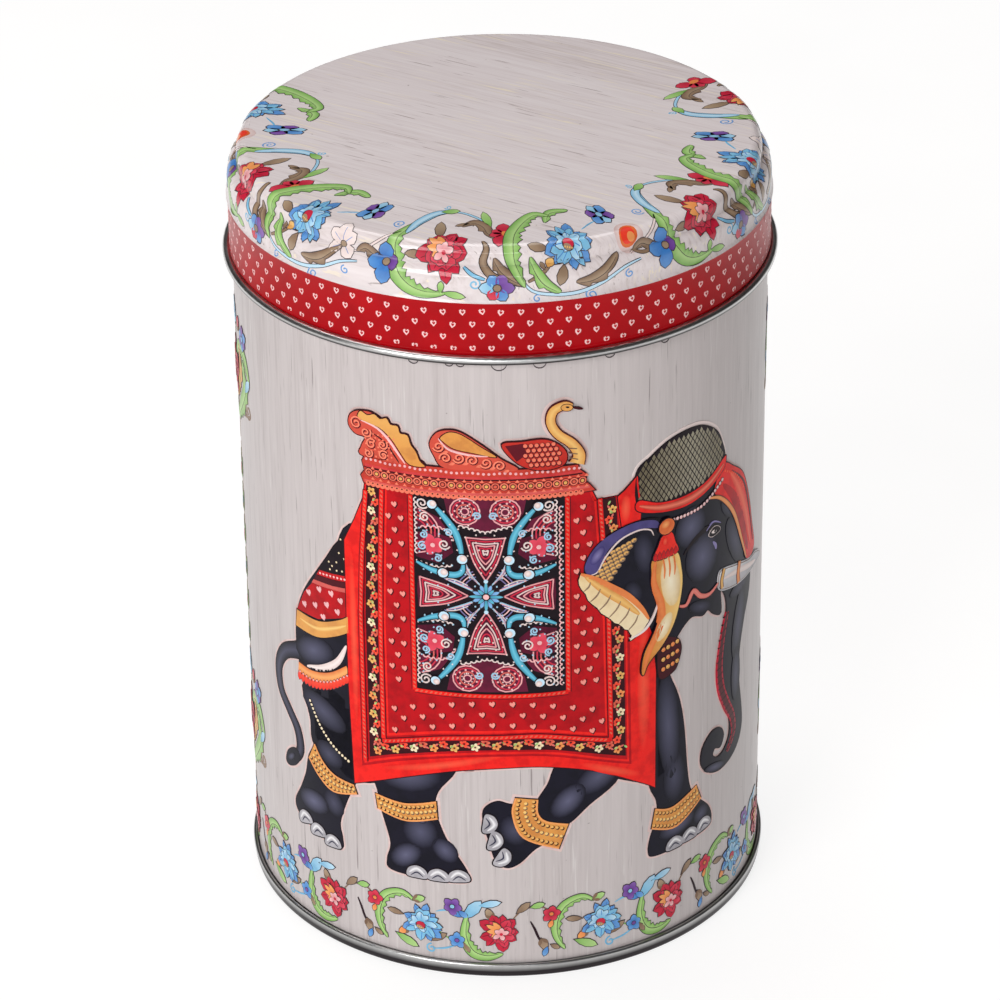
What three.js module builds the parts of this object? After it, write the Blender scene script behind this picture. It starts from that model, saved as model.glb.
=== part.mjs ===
// Round slip-lid tea caddy in rolled tinplate: straight printed body, seamed base, plug lid with a
// riveted knob, and a stepped outer lid with a rolled edge. Millimetres, +Z up, origin at the centre
// of the base where the seam stands on the table. Every pressed piece is one sheet of tinplate, drawn
// as the path of its middle surface and given its thickness by sheetProfile.
import * as THREE from 'three';

// ---- driving dimensions -------------------------------------------------------------------------
const SEGMENTS = 48;              // facets round every large turned piece
const BODY_DIAMETER = 99;         // outside of the straight wall
const OVERALL_HEIGHT = 152.4;     // base seam to the top of the outer lid
const SHEET = 0.25;               // tinplate thickness with its lacquer
const SEAT_GAP = 0.3;             // between pieces that rest on or grip each other

// outer lid
const LID_DEPTH = 21.8;           // top face to the bottom of the rolled edge
const LID_CLEARANCE = 0.2;        // body wall to the inside of the skirt
const LID_STEP_DEPTH = 10.3;      // top face to the step between upper wall and skirt
const LID_LIP = 0.25;             // how far the upper wall's lower lip stands proud of the skirt
const LID_WALL_INSET = 0.1;       // upper wall set in from the skirt
const LID_CROWN_INSET = 1.8;      // raised crown set in from the upper wall
const LID_CROWN_DEPTH = 3;        // top face to the crease under the crown
const LID_CROWN_RADIUS = 2;       // rounded edge of the crown
const LID_CREASE_DROP = 0.7;      // crease down to the start of the shoulder
const LID_SHOULDER_RADIUS = 3;
const LID_CURL_DIAMETER = 1.6;    // rolled edge, outside

// mouth of the body
const RIM_BELOW_TOP = 6;          // top face of the outer lid to the top of the body's rolled rim
const RIM_CURL_DIAMETER = 2.2;
const NECK_HEIGHT = 5;            // length over which the wall draws in below the rim

// base
const SEAM_HEIGHT = 3;
const SEAM_PROUD = 1;             // how far the base seam stands out from the wall
const PANEL_RECESS = 3.3;         // middle of the base panel above the standing edge
const PANEL_STEP = 0.6;           // stiffening step pressed into the base panel
const PANEL_STEP_INSET = 8;       // from the chuck wall in to that step

// plug lid
const PLUG_DEPTH = 8;             // flange down to the panel
const PLUG_CLEARANCE = 0.3;       // rolled rim to the plug wall
const PLUG_CORNER = 1.5;
const PLUG_FLANGE = 2.2;          // flange width beyond the plug wall
const KNOB_DIAMETER = 14;
const KNOB_FOOT_DIAMETER = 9;
const KNOB_WAIST_DIAMETER = 6;
const KNOB_TOP_CLEARANCE = 5.1;   // knob to the underside of the outer lid
const RIVET_SHANK_DIAMETER = 2.4;
const RIVET_HEAD_DIAMETER = 6;
const RIVET_HEAD_HEIGHT = 0.6;
const RIVET_CLEARANCE = 0.3;      // shank to the holes that it passes through
const RIVET_GRIP = 4;             // shank length inside the knob

// ---- levels and radii worked out from them ------------------------------------------------------
const half = SHEET / 2;
const wallOuter = BODY_DIAMETER / 2;
const wallMiddle = wallOuter - half;
const skirtMiddle = wallOuter + LID_CLEARANCE + half;
const lidUnderside = OVERALL_HEIGHT - SHEET;
const stepLevel = OVERALL_HEIGHT - LID_STEP_DEPTH;
const upperWallMiddle = skirtMiddle - LID_WALL_INSET;
const rimLevel = OVERALL_HEIGHT - RIM_BELOW_TOP;
const rimOuter = Math.min(wallOuter, upperWallMiddle - half - LID_CLEARANCE);
const rimCurlRadius = RIM_CURL_DIAMETER / 2 - half;
const rimCurlCentre = rimOuter - RIM_CURL_DIAMETER / 2;
const plugMiddle = rimOuter - RIM_CURL_DIAMETER - PLUG_CLEARANCE - half;
const flangeLevel = rimLevel + SEAT_GAP + half;
const plugPanelLevel = flangeLevel - PLUG_DEPTH;
const rivetHole = RIVET_SHANK_DIAMETER / 2 + RIVET_CLEARANCE;

// ---- profiles -----------------------------------------------------------------------------------
// Points [r, z] on an arc about a centre, angles in degrees from straight outward towards up.
function arc(centreR, centreZ, radius, from, to, steps) {
  const points = [];
  for (let i = 0; i <= steps; i++) {
    const angle = THREE.MathUtils.degToRad(from + (to - from) * i / steps);
    points.push([centreR + radius * Math.cos(angle), centreZ + radius * Math.sin(angle)]);
  }
  return points;
}

// Closed outline of a sheet whose middle surface follows path, with mitred corners.
function sheetProfile(path) {
  const sides = [[], []];
  path.forEach(([r, z], i) => {
    const here = new THREE.Vector2(r, z);
    const before = new THREE.Vector2(...path[Math.max(i - 1, 0)]);
    const after = new THREE.Vector2(...path[Math.min(i + 1, path.length - 1)]);
    const arriving = here.clone().sub(before).normalize();
    const leaving = after.clone().sub(here).normalize();
    const first = i === 0 ? leaving : arriving;
    const second = i === path.length - 1 ? arriving : leaving;
    const along = first.clone().add(second).normalize();
    const reach = half / along.dot(first);
    const normal = new THREE.Vector2(along.y, -along.x).multiplyScalar(reach);
    sides[0].push(here.clone().add(normal));
    sides[1].push(here.clone().sub(normal));
  });
  return [...sides[0], ...sides[1].reverse()];
}

// Turned solid about +Z. A profile off the axis is closed on itself, and is run anticlockwise.
function turned(name, profile, segments, material) {
  const points = profile.map((p) => new THREE.Vector2(Math.max(p.x, 0), p.y));
  if (THREE.ShapeUtils.area(points) < 0) points.reverse();
  const onAxis = points.findIndex((p, i) => p.x === 0 && points.at(i - 1).x === 0);
  if (onAxis >= 0) points.push(...points.splice(0, onAxis));
  else points.push(points[0].clone());
  const geometry = new THREE.LatheGeometry(points, segments);
  geometry.rotateX(Math.PI / 2);
  const mesh = new THREE.Mesh(geometry, material);
  mesh.name = name;
  return mesh;
}

const vectors = (pairs) => pairs.map(([r, z]) => new THREE.Vector2(r, z));

// ---- materials ----------------------------------------------------------------------------------
const printedTin = new THREE.MeshStandardMaterial({ color: 0xd8cfca, roughness: 0.28, metalness: 0.1 });
const bareTin = new THREE.MeshStandardMaterial({ color: 0xb9bbbd, roughness: 0.3, metalness: 1 });
const turnedSteel = new THREE.MeshStandardMaterial({ color: 0xa8aaad, roughness: 0.25, metalness: 1 });

// ---- body: flange, straight wall, neck and rolled rim -------------------------------------------
function bodyWall() {
  const flangeEdge = wallOuter + SEAM_PROUD - SHEET - SEAT_GAP;
  const flangeHeight = SHEET + SEAT_GAP + half;
  const rimMiddle = rimOuter - half;
  const curlLevel = rimLevel - RIM_CURL_DIAMETER / 2;
  const path = [
    [flangeEdge, flangeHeight],
    [wallMiddle, flangeHeight],
    [wallMiddle, curlLevel - NECK_HEIGHT],
    [rimMiddle, curlLevel - NECK_HEIGHT / 3],
    ...arc(rimCurlCentre, curlLevel, rimCurlRadius, 0, 300, 8),
  ];
  return turned('body_wall', sheetProfile(path), SEGMENTS, printedTin);
}

// ---- base: stepped panel, chuck wall and the seam that folds round the body's flange ------------
function bottomEnd() {
  const chuckMiddle = wallOuter - SHEET - SEAT_GAP - half;
  const seamMiddle = wallOuter + SEAM_PROUD - half;
  const stepRadius = chuckMiddle - PANEL_STEP_INSET;
  const low = PANEL_RECESS - PANEL_STEP;
  const corner = 1;
  const path = [
    [0, PANEL_RECESS],
    [stepRadius, PANEL_RECESS],
    [stepRadius + PANEL_STEP, low],
    ...arc(chuckMiddle - corner, low - corner, corner, 90, 0, 3),
    [chuckMiddle, half],
    [seamMiddle, half],
    [seamMiddle, SEAM_HEIGHT - half],
    [wallOuter + SEAT_GAP, SEAM_HEIGHT - half],
  ];
  return turned('bottom_end', sheetProfile(path), SEGMENTS, bareTin);
}

// ---- outer lid: raised crown, shoulder, upper wall, lip, skirt and rolled edge ------------------
function outerLid() {
  const curlRadius = LID_CURL_DIAMETER / 2 - half;
  const curlLevel = OVERALL_HEIGHT - LID_DEPTH + LID_CURL_DIAMETER / 2;
  const crownMiddle = upperWallMiddle - LID_CROWN_INSET;
  const crownArc = LID_CROWN_RADIUS - half;
  const shoulderArc = LID_SHOULDER_RADIUS - half;
  const shoulderCentre = upperWallMiddle - shoulderArc;
  const shoulderStart = Math.acos((crownMiddle + half - shoulderCentre) / shoulderArc);
  const creaseLevel = OVERALL_HEIGHT - LID_CROWN_DEPTH;
  const shoulderLevel = creaseLevel - LID_CREASE_DROP - shoulderArc * Math.sin(shoulderStart);
  const path = [
    [0, OVERALL_HEIGHT - half],
    ...arc(crownMiddle - crownArc, OVERALL_HEIGHT - LID_CROWN_RADIUS, crownArc, 90, 0, 4),
    [crownMiddle, creaseLevel],
    ...arc(shoulderCentre, shoulderLevel, shoulderArc, THREE.MathUtils.radToDeg(shoulderStart), 0, 4),
    [upperWallMiddle, stepLevel + 3 * LID_LIP],
    [skirtMiddle + LID_LIP, stepLevel + LID_LIP],
    [skirtMiddle, stepLevel - LID_LIP],
    ...arc(skirtMiddle + curlRadius, curlLevel, curlRadius, 180, 450, 7),
  ];
  return turned('outer_lid', sheetProfile(path), SEGMENTS, printedTin);
}

// ---- plug lid: panel with a rivet hole, plug wall and a flange over the rolled rim --------------
function innerLid() {
  const path = [
    [rivetHole, plugPanelLevel],
    ...arc(plugMiddle - PLUG_CORNER, plugPanelLevel + PLUG_CORNER, PLUG_CORNER, -90, 0, 3),
    ...arc(plugMiddle + 1, flangeLevel - 1, 1, 180, 90, 3),
    [plugMiddle + PLUG_FLANGE, flangeLevel],
  ];
  return turned('inner_lid', sheetProfile(path), SEGMENTS, bareTin);
}

// ---- turned knob with a blind hole for the rivet ------------------------------------------------
function innerLidKnob() {
  const foot = plugPanelLevel + half + SEAT_GAP;
  const top = lidUnderside - KNOB_TOP_CLEARANCE;
  const height = top - foot;
  const head = KNOB_DIAMETER / 2;
  const waist = KNOB_WAIST_DIAMETER / 2;
  const footRadius = KNOB_FOOT_DIAMETER / 2;
  const edge = height * 0.16;
  const profile = [
    [0, foot + RIVET_GRIP + SEAT_GAP],
    [rivetHole, foot + RIVET_GRIP + SEAT_GAP],
    [rivetHole, foot],
    [footRadius, foot],
    [footRadius, foot + height * 0.1],
    [waist, foot + height * 0.32],
    [waist, foot + height * 0.5],
    ...arc(head - edge, top - 1.6 * edge, edge, -60, 60, 4),
    [head * 0.45, top],
    [0, top],
  ];
  return turned('inner_lid_knob', vectors(profile), 24, turnedSteel);
}

// ---- rivet: head under the plug panel, shank up into the knob -----------------------------------
function knobRivet() {
  const headTop = plugPanelLevel - half - SEAT_GAP;
  const shank = RIVET_SHANK_DIAMETER / 2;
  const head = RIVET_HEAD_DIAMETER / 2;
  const profile = [
    [0, headTop - RIVET_HEAD_HEIGHT],
    [head * 0.7, headTop - RIVET_HEAD_HEIGHT],
    [head, headTop - RIVET_HEAD_HEIGHT / 2],
    [head, headTop],
    [shank, headTop],
    [shank, plugPanelLevel + half + SEAT_GAP + RIVET_GRIP],
    [0, plugPanelLevel + half + SEAT_GAP + RIVET_GRIP],
  ];
  return turned('knob_rivet', vectors(profile), 16, turnedSteel);
}

// ---- assembly -----------------------------------------------------------------------------------
const caddy = new THREE.Group();
caddy.add(bodyWall(), bottomEnd());
const plugLid = new THREE.Group();
plugLid.add(innerLid(), innerLidKnob(), knobRivet());
caddy.add(plugLid, outerLid());

export default caddy;
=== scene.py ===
"""A round tea caddy of printed tin: a slip lid, a lift-out plug lid with a turned knob, and a seamed body."""

import math
import random

import bmesh
import bpy
from mathutils import Matrix, Vector


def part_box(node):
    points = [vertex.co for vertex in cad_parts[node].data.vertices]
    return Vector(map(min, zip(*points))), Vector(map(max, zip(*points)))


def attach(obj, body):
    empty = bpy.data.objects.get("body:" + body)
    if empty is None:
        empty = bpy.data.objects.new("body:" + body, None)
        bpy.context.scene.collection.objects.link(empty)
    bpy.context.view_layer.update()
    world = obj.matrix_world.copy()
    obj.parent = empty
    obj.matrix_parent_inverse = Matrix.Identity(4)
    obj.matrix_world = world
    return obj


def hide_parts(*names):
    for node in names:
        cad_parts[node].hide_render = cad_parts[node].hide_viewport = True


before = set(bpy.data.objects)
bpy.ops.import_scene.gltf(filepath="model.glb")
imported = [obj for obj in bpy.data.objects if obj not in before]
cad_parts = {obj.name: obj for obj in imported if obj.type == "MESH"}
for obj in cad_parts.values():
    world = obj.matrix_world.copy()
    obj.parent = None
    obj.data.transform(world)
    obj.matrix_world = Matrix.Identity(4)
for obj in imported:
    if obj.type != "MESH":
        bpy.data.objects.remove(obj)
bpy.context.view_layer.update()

MM = 0.001
TURN = 2 * math.pi
SPIN_STEPS = 240
SHARP_EDGE = math.radians(35)
GLOSS_ON_WALL = 0.1
GLOSS_ON_LID = 0.5

# -------- sizes, in millimetres
LID_LOW, LID_HIGH = [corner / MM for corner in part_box("outer_lid")]
WALL_LOW, WALL_HIGH = [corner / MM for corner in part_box("body_wall")]
END_LOW, END_HIGH = [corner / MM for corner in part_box("bottom_end")]
PLUG_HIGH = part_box("inner_lid")[1] / MM
KNOB_LOW, KNOB_HIGH = [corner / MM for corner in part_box("inner_lid_knob")]
RIVET_LOW, RIVET_HIGH = [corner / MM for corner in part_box("knob_rivet")]

SHEET = 0.25
INK_FILM = 0.04
PRINT_STACK = 0.2

FOLD_OUT = 0.45
WALL_RADIUS = WALL_HIGH.x - FOLD_OUT
NECK_TUCK = 0.10
NECK_RISE = 3.3
NECK_BASE = 6.1
RIM_ROLL = 1.1
RIM_CENTRE = 48.3

LID_TOP = LID_HIGH.z - PRINT_STACK
CURL_ROLL = 0.8
SKIRT_RADIUS = 49.95
CROWN_EDGE = 46.05
CROWN_ROUND = 2.0
CREASE_FALL = 3.0
SHOULDER_ROUND = 3.0
SHOULDER_CENTRE = (46.85, LID_HIGH.z - 6.3)
LID_WALL_FOOT = LID_HIGH.z - 9.51
LIP_OUT = (50.22, LID_HIGH.z - 10.04)
LIP_FOOT = LID_HIGH.z - 10.58
RIDGE_HEIGHT = LID_LOW.z + 2.1
RIDGE_OUT = 0.16


# -------- outlines and mesh tools
def arc(centre, radius, start, end, steps=8):
    """Points on an arc, from one angle to another, in degrees."""
    angles = [math.radians(start + (end - start) * i / steps) for i in range(steps + 1)]
    return [(centre[0] + radius * math.cos(a), centre[1] + radius * math.sin(a)) for a in angles]


def without_repeats(points):
    kept = [points[0]]
    for point in points[1:]:
        if math.dist(point, kept[-1]) > 1e-4:
            kept.append(point)
    return kept


def side_step(points, distance, closed=False):
    """The points moved sideways, to the left of the way they run."""
    moved = []
    count = len(points)
    for i, here in enumerate(points):
        before = points[i - 1] if i or closed else here
        after = points[(i + 1) % count] if i < count - 1 or closed else here
        run_in = Vector(here) - Vector(before)
        run_out = Vector(after) - Vector(here)
        ways = [Vector((-run.y, run.x)).normalized() for run in (run_in, run_out) if run.length > 1e-9]
        way = sum(ways, Vector((0, 0)))
        if way.length < 1e-6:
            way = ways[0]
        way.normalize()
        lean = max(way.dot(ways[0]), 0.5)
        moved.append((here[0] + way.x * distance / lean, here[1] + way.y * distance / lean))
    return moved


def sheet_profile(path, inside, outside):
    """A closed profile of sheet metal round a path of (radius, height) points."""
    path = without_repeats(path)
    return side_step(path, inside) + side_step(path, -outside)[::-1]


def make_piece(bm, name):
    """Makes an object of a bmesh drawn in millimetres, smooth but for its sharp edges."""
    bm.transform(Matrix.Scale(MM, 4))
    mesh = bpy.data.meshes.new(name)
    bm.to_mesh(mesh)
    bm.free()
    mesh.shade_smooth()
    mesh.set_sharp_from_angle(angle=SHARP_EDGE)
    piece = bpy.data.objects.new(name, mesh)
    bpy.context.scene.collection.objects.link(piece)
    return piece


def finish_mesh(bm, name):
    """Closes a spun or built shape, turns its faces outward and makes its object."""
    bmesh.ops.remove_doubles(bm, verts=bm.verts, dist=1e-5)
    bmesh.ops.recalc_face_normals(bm, faces=bm.faces)
    return make_piece(bm, name)


def spun(name, profile, steps=SPIN_STEPS):
    """Spins a profile of (radius, height) points; one whose ends are on the axis is already closed there."""
    bm = bmesh.new()
    profile = without_repeats(profile)
    corners = [bm.verts.new((radius, 0, height)) for radius, height in profile]
    pairs = list(zip(corners, corners[1:]))
    if max(profile[0][0], profile[-1][0]) > 1e-4:
        pairs.append((corners[-1], corners[0]))
    edges = [bm.edges.new(pair) for pair in pairs]
    bmesh.ops.spin(
        bm, geom=corners + edges, cent=(0, 0, 0), axis=(0, 0, 1), angle=TURN, steps=steps, use_merge=True
    )
    return finish_mesh(bm, name)


def settle(piece, body, slot, material, *nodes):
    """Gives a finished piece its finish and its body, and hides the nodes that it stands for."""
    piece.data.materials.append(material)
    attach(piece, body)
    if nodes:
        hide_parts(*nodes)
    return piece


# -------- shader tools
def tint(red, green, blue):
    """A colour given as 0 to 255 on a screen."""
    parts = [value / 255 for value in (red, green, blue)]
    return tuple(p / 12.92 if p <= 0.04045 else ((p + 0.055) / 1.055) ** 2.4 for p in parts) + (1.0,)


class Reading:
    """A socket whose arithmetic adds Math nodes."""

    def __init__(self, finish, socket):
        self.finish = finish
        self.socket = socket

    def maths(self, operation, first, second):
        return self.finish.node("ShaderNodeMath", {"operation": operation}, {0: first, 1: second})

    def __add__(self, other):
        return self.maths("ADD", self, other)

    def __sub__(self, other):
        return self.maths("SUBTRACT", self, other)

    def __rsub__(self, other):
        return self.maths("SUBTRACT", other, self)

    def __mul__(self, other):
        return self.maths("MULTIPLY", self, other)

    __radd__ = __add__
    __rmul__ = __mul__


class Finish:
    """One material, built node by node."""

    def __init__(self, name):
        self.material = bpy.data.materials.new(name)
        self.material.use_nodes = True
        self.tree = self.material.node_tree
        self.tree.nodes.clear()
        self.output = self.tree.nodes.new("ShaderNodeOutputMaterial")

    def node(self, kind, settings=None, inputs=None, output=0):
        made = self.tree.nodes.new(kind)
        for key, value in (settings or {}).items():
            if key == "stops":
                self.set_stops(made.color_ramp, value)
            else:
                setattr(made, key, value)
        for key, value in (inputs or {}).items():
            if isinstance(value, Reading):
                self.tree.links.new(value.socket, made.inputs[key])
            else:
                made.inputs[key].default_value = value
        return Reading(self, made.outputs[output])

    def set_stops(self, ramp, stops):
        while len(ramp.elements) < len(stops):
            ramp.elements.new(0.5)
        for element, (place, value) in zip(ramp.elements, stops):
            element.position = place
            element.color = value if isinstance(value, tuple) else (value, value, value, 1)

    def place(self, scale=(1, 1, 1), turn=(0, 0, 0)):
        here = self.node("ShaderNodeTexCoord", output="Object")
        settings = {"vector_type": "TEXTURE"}
        return self.node("ShaderNodeMapping", settings, {"Vector": here, "Scale": scale, "Rotation": turn})

    def noise(self, size, detail=3.0, rough=0.55, stretch=(1, 1, 1), turn=(0, 0, 0), twist=0.0):
        """Noise whose blobs are about this many millimetres wide."""
        inputs = {
            "Vector": self.place(tuple(size * MM * s for s in stretch), turn),
            "Scale": 1.0,
            "Detail": detail,
            "Roughness": rough,
            "Distortion": twist,
        }
        return self.node("ShaderNodeTexNoise", None, inputs)

    def ramp(self, factor, *stops):
        return self.node("ShaderNodeValToRGB", {"stops": stops}, {"Fac": factor})

    def blend(self, factor, first, second):
        settings = {"data_type": "RGBA"}
        inputs = {"Factor": factor, 6: first, 7: second}
        return self.node("ShaderNodeMix", settings, inputs, output=2)

    def attribute(self, name):
        return self.node("ShaderNodeAttribute", {"attribute_name": name}, output="Fac")

    def bump(self, height, strength, distance=0.1):
        inputs = {"Height": height, "Strength": strength, "Distance": distance * MM}
        return self.node("ShaderNodeBump", None, inputs)

    def height(self):
        """How high the point is on its piece, in metres."""
        here = self.node("ShaderNodeTexCoord", output="Object")
        return self.node("ShaderNodeSeparateXYZ", None, {"Vector": here}, output="Z")

    def lid_gloss(self):
        """The varnish: thin on the wall, thicker on the lid."""
        return self.ramp(self.height() * (1 / (LID_HIGH.z * MM)), (0.9, GLOSS_ON_WALL), (0.93, GLOSS_ON_LID))

    def surface(self, **inputs):
        named = {key.replace("_", " "): value for key, value in inputs.items()}
        shader = self.node("ShaderNodeBsdfPrincipled", None, named)
        self.tree.links.new(shader.socket, self.output.inputs["Surface"])
        return self.material


# -------- finishes
def wood_print(name, grain_size, stretch, turn, pale, mid, dark, streak, glint):
    """Whitewashed boards printed on tin: fine grain, soft bands and a few dark hairline cracks."""
    f = Finish(name)
    bands = f.noise(16.0, 2.0, 0.5, stretch, turn)
    grain = f.noise(grain_size, 4.0, 0.62, stretch, turn, 0.4)
    colour = f.ramp(bands * 0.4 + grain * 0.6, (0.32, dark), (0.46, mid), (0.62, pale))
    patches = f.ramp(f.noise(13.0, 2.0), (0.42, 0.0), (0.62, 1.0))
    hairs = f.noise(0.42, 2.0, 0.5, stretch, turn, 0.3)
    cracks = f.ramp(hairs, (0.31, 1.0), (0.345, 0.0))
    colour = f.blend(cracks * patches * 0.6, colour, streak)
    lines = f.ramp(f.noise(0.5, 2.0, 0.5, stretch, turn, 0.3), (0.63, 0.0), (0.68, 1.0))
    colour = f.blend(lines * (1 - patches) * 0.7, colour, glint)
    specks = f.ramp(f.noise(0.9, 1.0, 0.5, (1.6, 1.6, 1.0)), (0.17, 1.0), (0.2, 0.0))
    colour = f.blend(specks * 0.5, colour, streak)
    rough = 0.3 + 0.1 * f.noise(22.0, 3.0)
    sheet_waves = f.bump(f.noise(26.0, 1.0), 0.25, 0.25)
    return f.surface(
        Base_Color=colour, Roughness=rough, Normal=sheet_waves, Specular_IOR_Level=0.25,
        Coat_Weight=f.lid_gloss(), Coat_Roughness=0.07
    )


def red_print(name):
    """The strong red ground of the lid's skirt, with a satin varnish."""
    f = Finish(name)
    clouds = f.noise(6.0, 3.0)
    colour = f.blend(clouds, tint(148, 3, 13), tint(188, 5, 18))
    rough = 0.25 + 0.12 * f.noise(18.0, 3.0)
    waves = f.bump(f.noise(22.0, 1.0), 0.25, 0.25)
    return f.surface(
        Base_Color=colour, Roughness=rough, Normal=waves, Specular_IOR_Level=0.06, Coat_Weight=0.1,
        Coat_Roughness=0.08
    )


def bare_tin(name, bright=0.72, painted_shade_below=None):
    """Bright tinplate with the fine lines of the rolling mill and faint cloudy spots.

    Given two heights, the tin below the first is painted dark, fading back to its own colour by the second:
    painted shade on the underside of a rolled edge."""
    f = Finish(name)
    lines = f.noise(0.7, 4.0, 0.6, (1, 1, 30))
    clouds = f.noise(8.0, 4.0)
    mixed = 0.6 * clouds + 0.4 * lines
    low = bright * 0.82
    colour = f.ramp(
        mixed, (0.35, (low, low, low * 0.99, 1)), (0.68, (bright, bright * 0.995, bright * 0.98, 1))
    )
    if painted_shade_below:
        start, end = painted_shade_below
        reach = (f.height() - start * MM) * (1 / ((end - start) * MM))
        # painted shade: dark low on the piece, fading to the tin's own colour between the two heights
        colour = f.blend(f.ramp(reach, (0.0, 0.0), (1.0, 1.0)), tint(52, 48, 50), colour)
    rough = 0.2 + 0.22 * mixed
    return f.surface(Base_Color=colour, Metallic=1.0, Roughness=rough, Normal=f.bump(lines, 0.12, 0.03))


def turned_steel(name):
    """Polished steel with rings left by the turning tool."""
    f = Finish(name)
    here = f.node("ShaderNodeTexCoord", output="Object")
    apart = f.node("ShaderNodeSeparateXYZ", None, {"Vector": here})
    flat = f.node("ShaderNodeVectorMath", {"operation": "MULTIPLY"}, {0: here, 1: (1, 1, 0)})
    radius = f.node("ShaderNodeVectorMath", {"operation": "LENGTH"}, {0: flat}, output="Value")
    height = Reading(f, apart.socket.node.outputs["Z"])
    rings = f.node(
        "ShaderNodeTexNoise", {"noise_dimensions": "1D"}, {"W": (radius + height) * 4200, "Detail": 3.0}
    )
    clouds = f.noise(5.0, 3.0)
    colour = f.ramp(0.5 * rings + 0.5 * clouds, (0.35, (0.5, 0.5, 0.51, 1)), (0.66, (0.7, 0.7, 0.7, 1)))
    rough = 0.16 + 0.2 * rings
    return f.surface(Base_Color=colour, Metallic=1.0, Roughness=rough, Normal=f.bump(rings, 0.2, 0.03))


def paint(name, deep, plain, light, mottle=3.0):
    """A printed colour: the shade attribute runs from plain to light, and soft clouds pull it to deep."""
    f = Finish(name)
    clouds = f.ramp(f.noise(mottle, 4.0, 0.6), (0.38, 1.0), (0.56, 0.0))
    body = f.blend(clouds * 0.55, plain, deep)
    colour = f.blend(f.attribute("shade"), body, light)
    rough = 0.28 + 0.12 * f.noise(7.0, 3.0)
    tooth = f.bump(f.noise(0.5, 2.0), 0.15, 0.02)
    return f.surface(
        Base_Color=colour, Roughness=rough, Normal=tooth, Specular_IOR_Level=0.08,
        Coat_Weight=f.lid_gloss(), Coat_Roughness=0.07
    )


GRAIN_UP = (1, 1, 30)
GRAIN_ACROSS = (26, 1, 3)
GRAIN_TURN = (0, 0, math.radians(-32))
WALL_WOOD = wood_print(
    "wall_wood_print", 0.9, GRAIN_UP, (0, 0, 0),
    tint(202, 193, 192), tint(194, 185, 184), tint(176, 166, 165), tint(108, 94, 94), tint(212, 206, 204),
)
LID_WOOD = wood_print(
    "lid_wood_print", 0.6, GRAIN_ACROSS, GRAIN_TURN,
    tint(234, 224, 224), tint(226, 214, 214), tint(204, 190, 186), tint(120, 98, 90), tint(248, 234, 204),
)
SKIRT_RED = red_print("skirt_red_print")
TIN = bare_tin("bare_tinplate")
# The end's seam and the lid's curl are painted dark low down: painted shade on their undersides.
END_STEEL = bare_tin("bare_steel_end", 0.6, (1.4, 2.9))
LID_TIN = bare_tin("lid_tinplate", 0.8, (LID_LOW.z + 0.5, LID_LOW.z + 1.0))
KNOB_STEEL = turned_steel("turned_knob_steel")


# -------- the tin itself
def lid_face():
    """The outside of the slip lid, from its centre to the lip, as (radius, height) points."""
    drop = LID_TOP
    crown = arc((CROWN_EDGE, drop - CROWN_ROUND), CROWN_ROUND, 90, 0, 12)
    crease = (CROWN_EDGE + CROWN_ROUND, LID_HIGH.z - CREASE_FALL)
    shoulder = arc(SHOULDER_CENTRE, SHOULDER_ROUND, 64, 0, 12)
    wall_foot = (shoulder[-1][0], LID_WALL_FOOT)
    return [(0.0, drop)] + crown + [crease] + shoulder + [wall_foot, LIP_OUT]


def skirt_face():
    """The outside of the lid's red skirt, from under the lip to the rolled edge."""
    ridge = [
        (SKIRT_RADIUS, RIDGE_HEIGHT + 0.45),
        (SKIRT_RADIUS + RIDGE_OUT * 0.8, RIDGE_HEIGHT + 0.15),
        (SKIRT_RADIUS + RIDGE_OUT, RIDGE_HEIGHT),
        (SKIRT_RADIUS + RIDGE_OUT * 0.8, RIDGE_HEIGHT - 0.15),
        (SKIRT_RADIUS, RIDGE_HEIGHT - 0.45),
    ]
    return [(SKIRT_RADIUS, LIP_FOOT)] + ridge + [(SKIRT_RADIUS, LID_LOW.z + 1.5)]


def lid_curl():
    """The rolled edge of the skirt: it turns outward and up, back to the skirt."""
    centre = (LID_HIGH.x - CURL_ROLL, LID_LOW.z + CURL_ROLL)
    return arc(centre, CURL_ROLL - SHEET / 2, 180, 500, 20)


def make_slip_lid():
    face = lid_face() + skirt_face()
    middle = side_step(face, -SHEET / 2)
    middle = [point for point in middle if point[1] > LID_LOW.z + CURL_ROLL]
    shell = spun("slip_lid_shell", sheet_profile(middle + lid_curl(), SHEET / 2 - INK_FILM, SHEET / 2))
    settle(shell, "slip_lid", "bare_tin", LID_TIN, "outer_lid")
    crown = lid_face()
    skin = spun("slip_lid_wood_print", crown + side_step(crown, -INK_FILM - 0.02)[::-1])
    settle(skin, "slip_lid", "wood_print", LID_WOOD)
    skirt = [LIP_OUT] + skirt_face()
    band = spun("slip_lid_red_print", skirt + side_step(skirt, -INK_FILM - 0.02)[::-1])
    settle(band, "slip_lid", "red_print", SKIRT_RED)


def body_path():
    """The middle of the body's sheet, from the folded foot to the rolled rim."""
    middle = WALL_RADIUS - SHEET / 2
    foot = [(WALL_HIGH.x - 0.02, WALL_LOW.z + SHEET / 2), (middle + 0.2, WALL_LOW.z + SHEET / 2)]
    foot.append((middle, WALL_LOW.z + SHEET / 2 + 0.25))
    neck = WALL_HIGH.z - NECK_BASE
    wall = [(middle, neck), (middle - NECK_TUCK, neck + NECK_RISE)]
    centre = (RIM_CENTRE, WALL_HIGH.z - RIM_ROLL)
    roll = arc(centre, RIM_ROLL - SHEET / 2, -5, 300, 24)
    return foot + wall + roll


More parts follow.
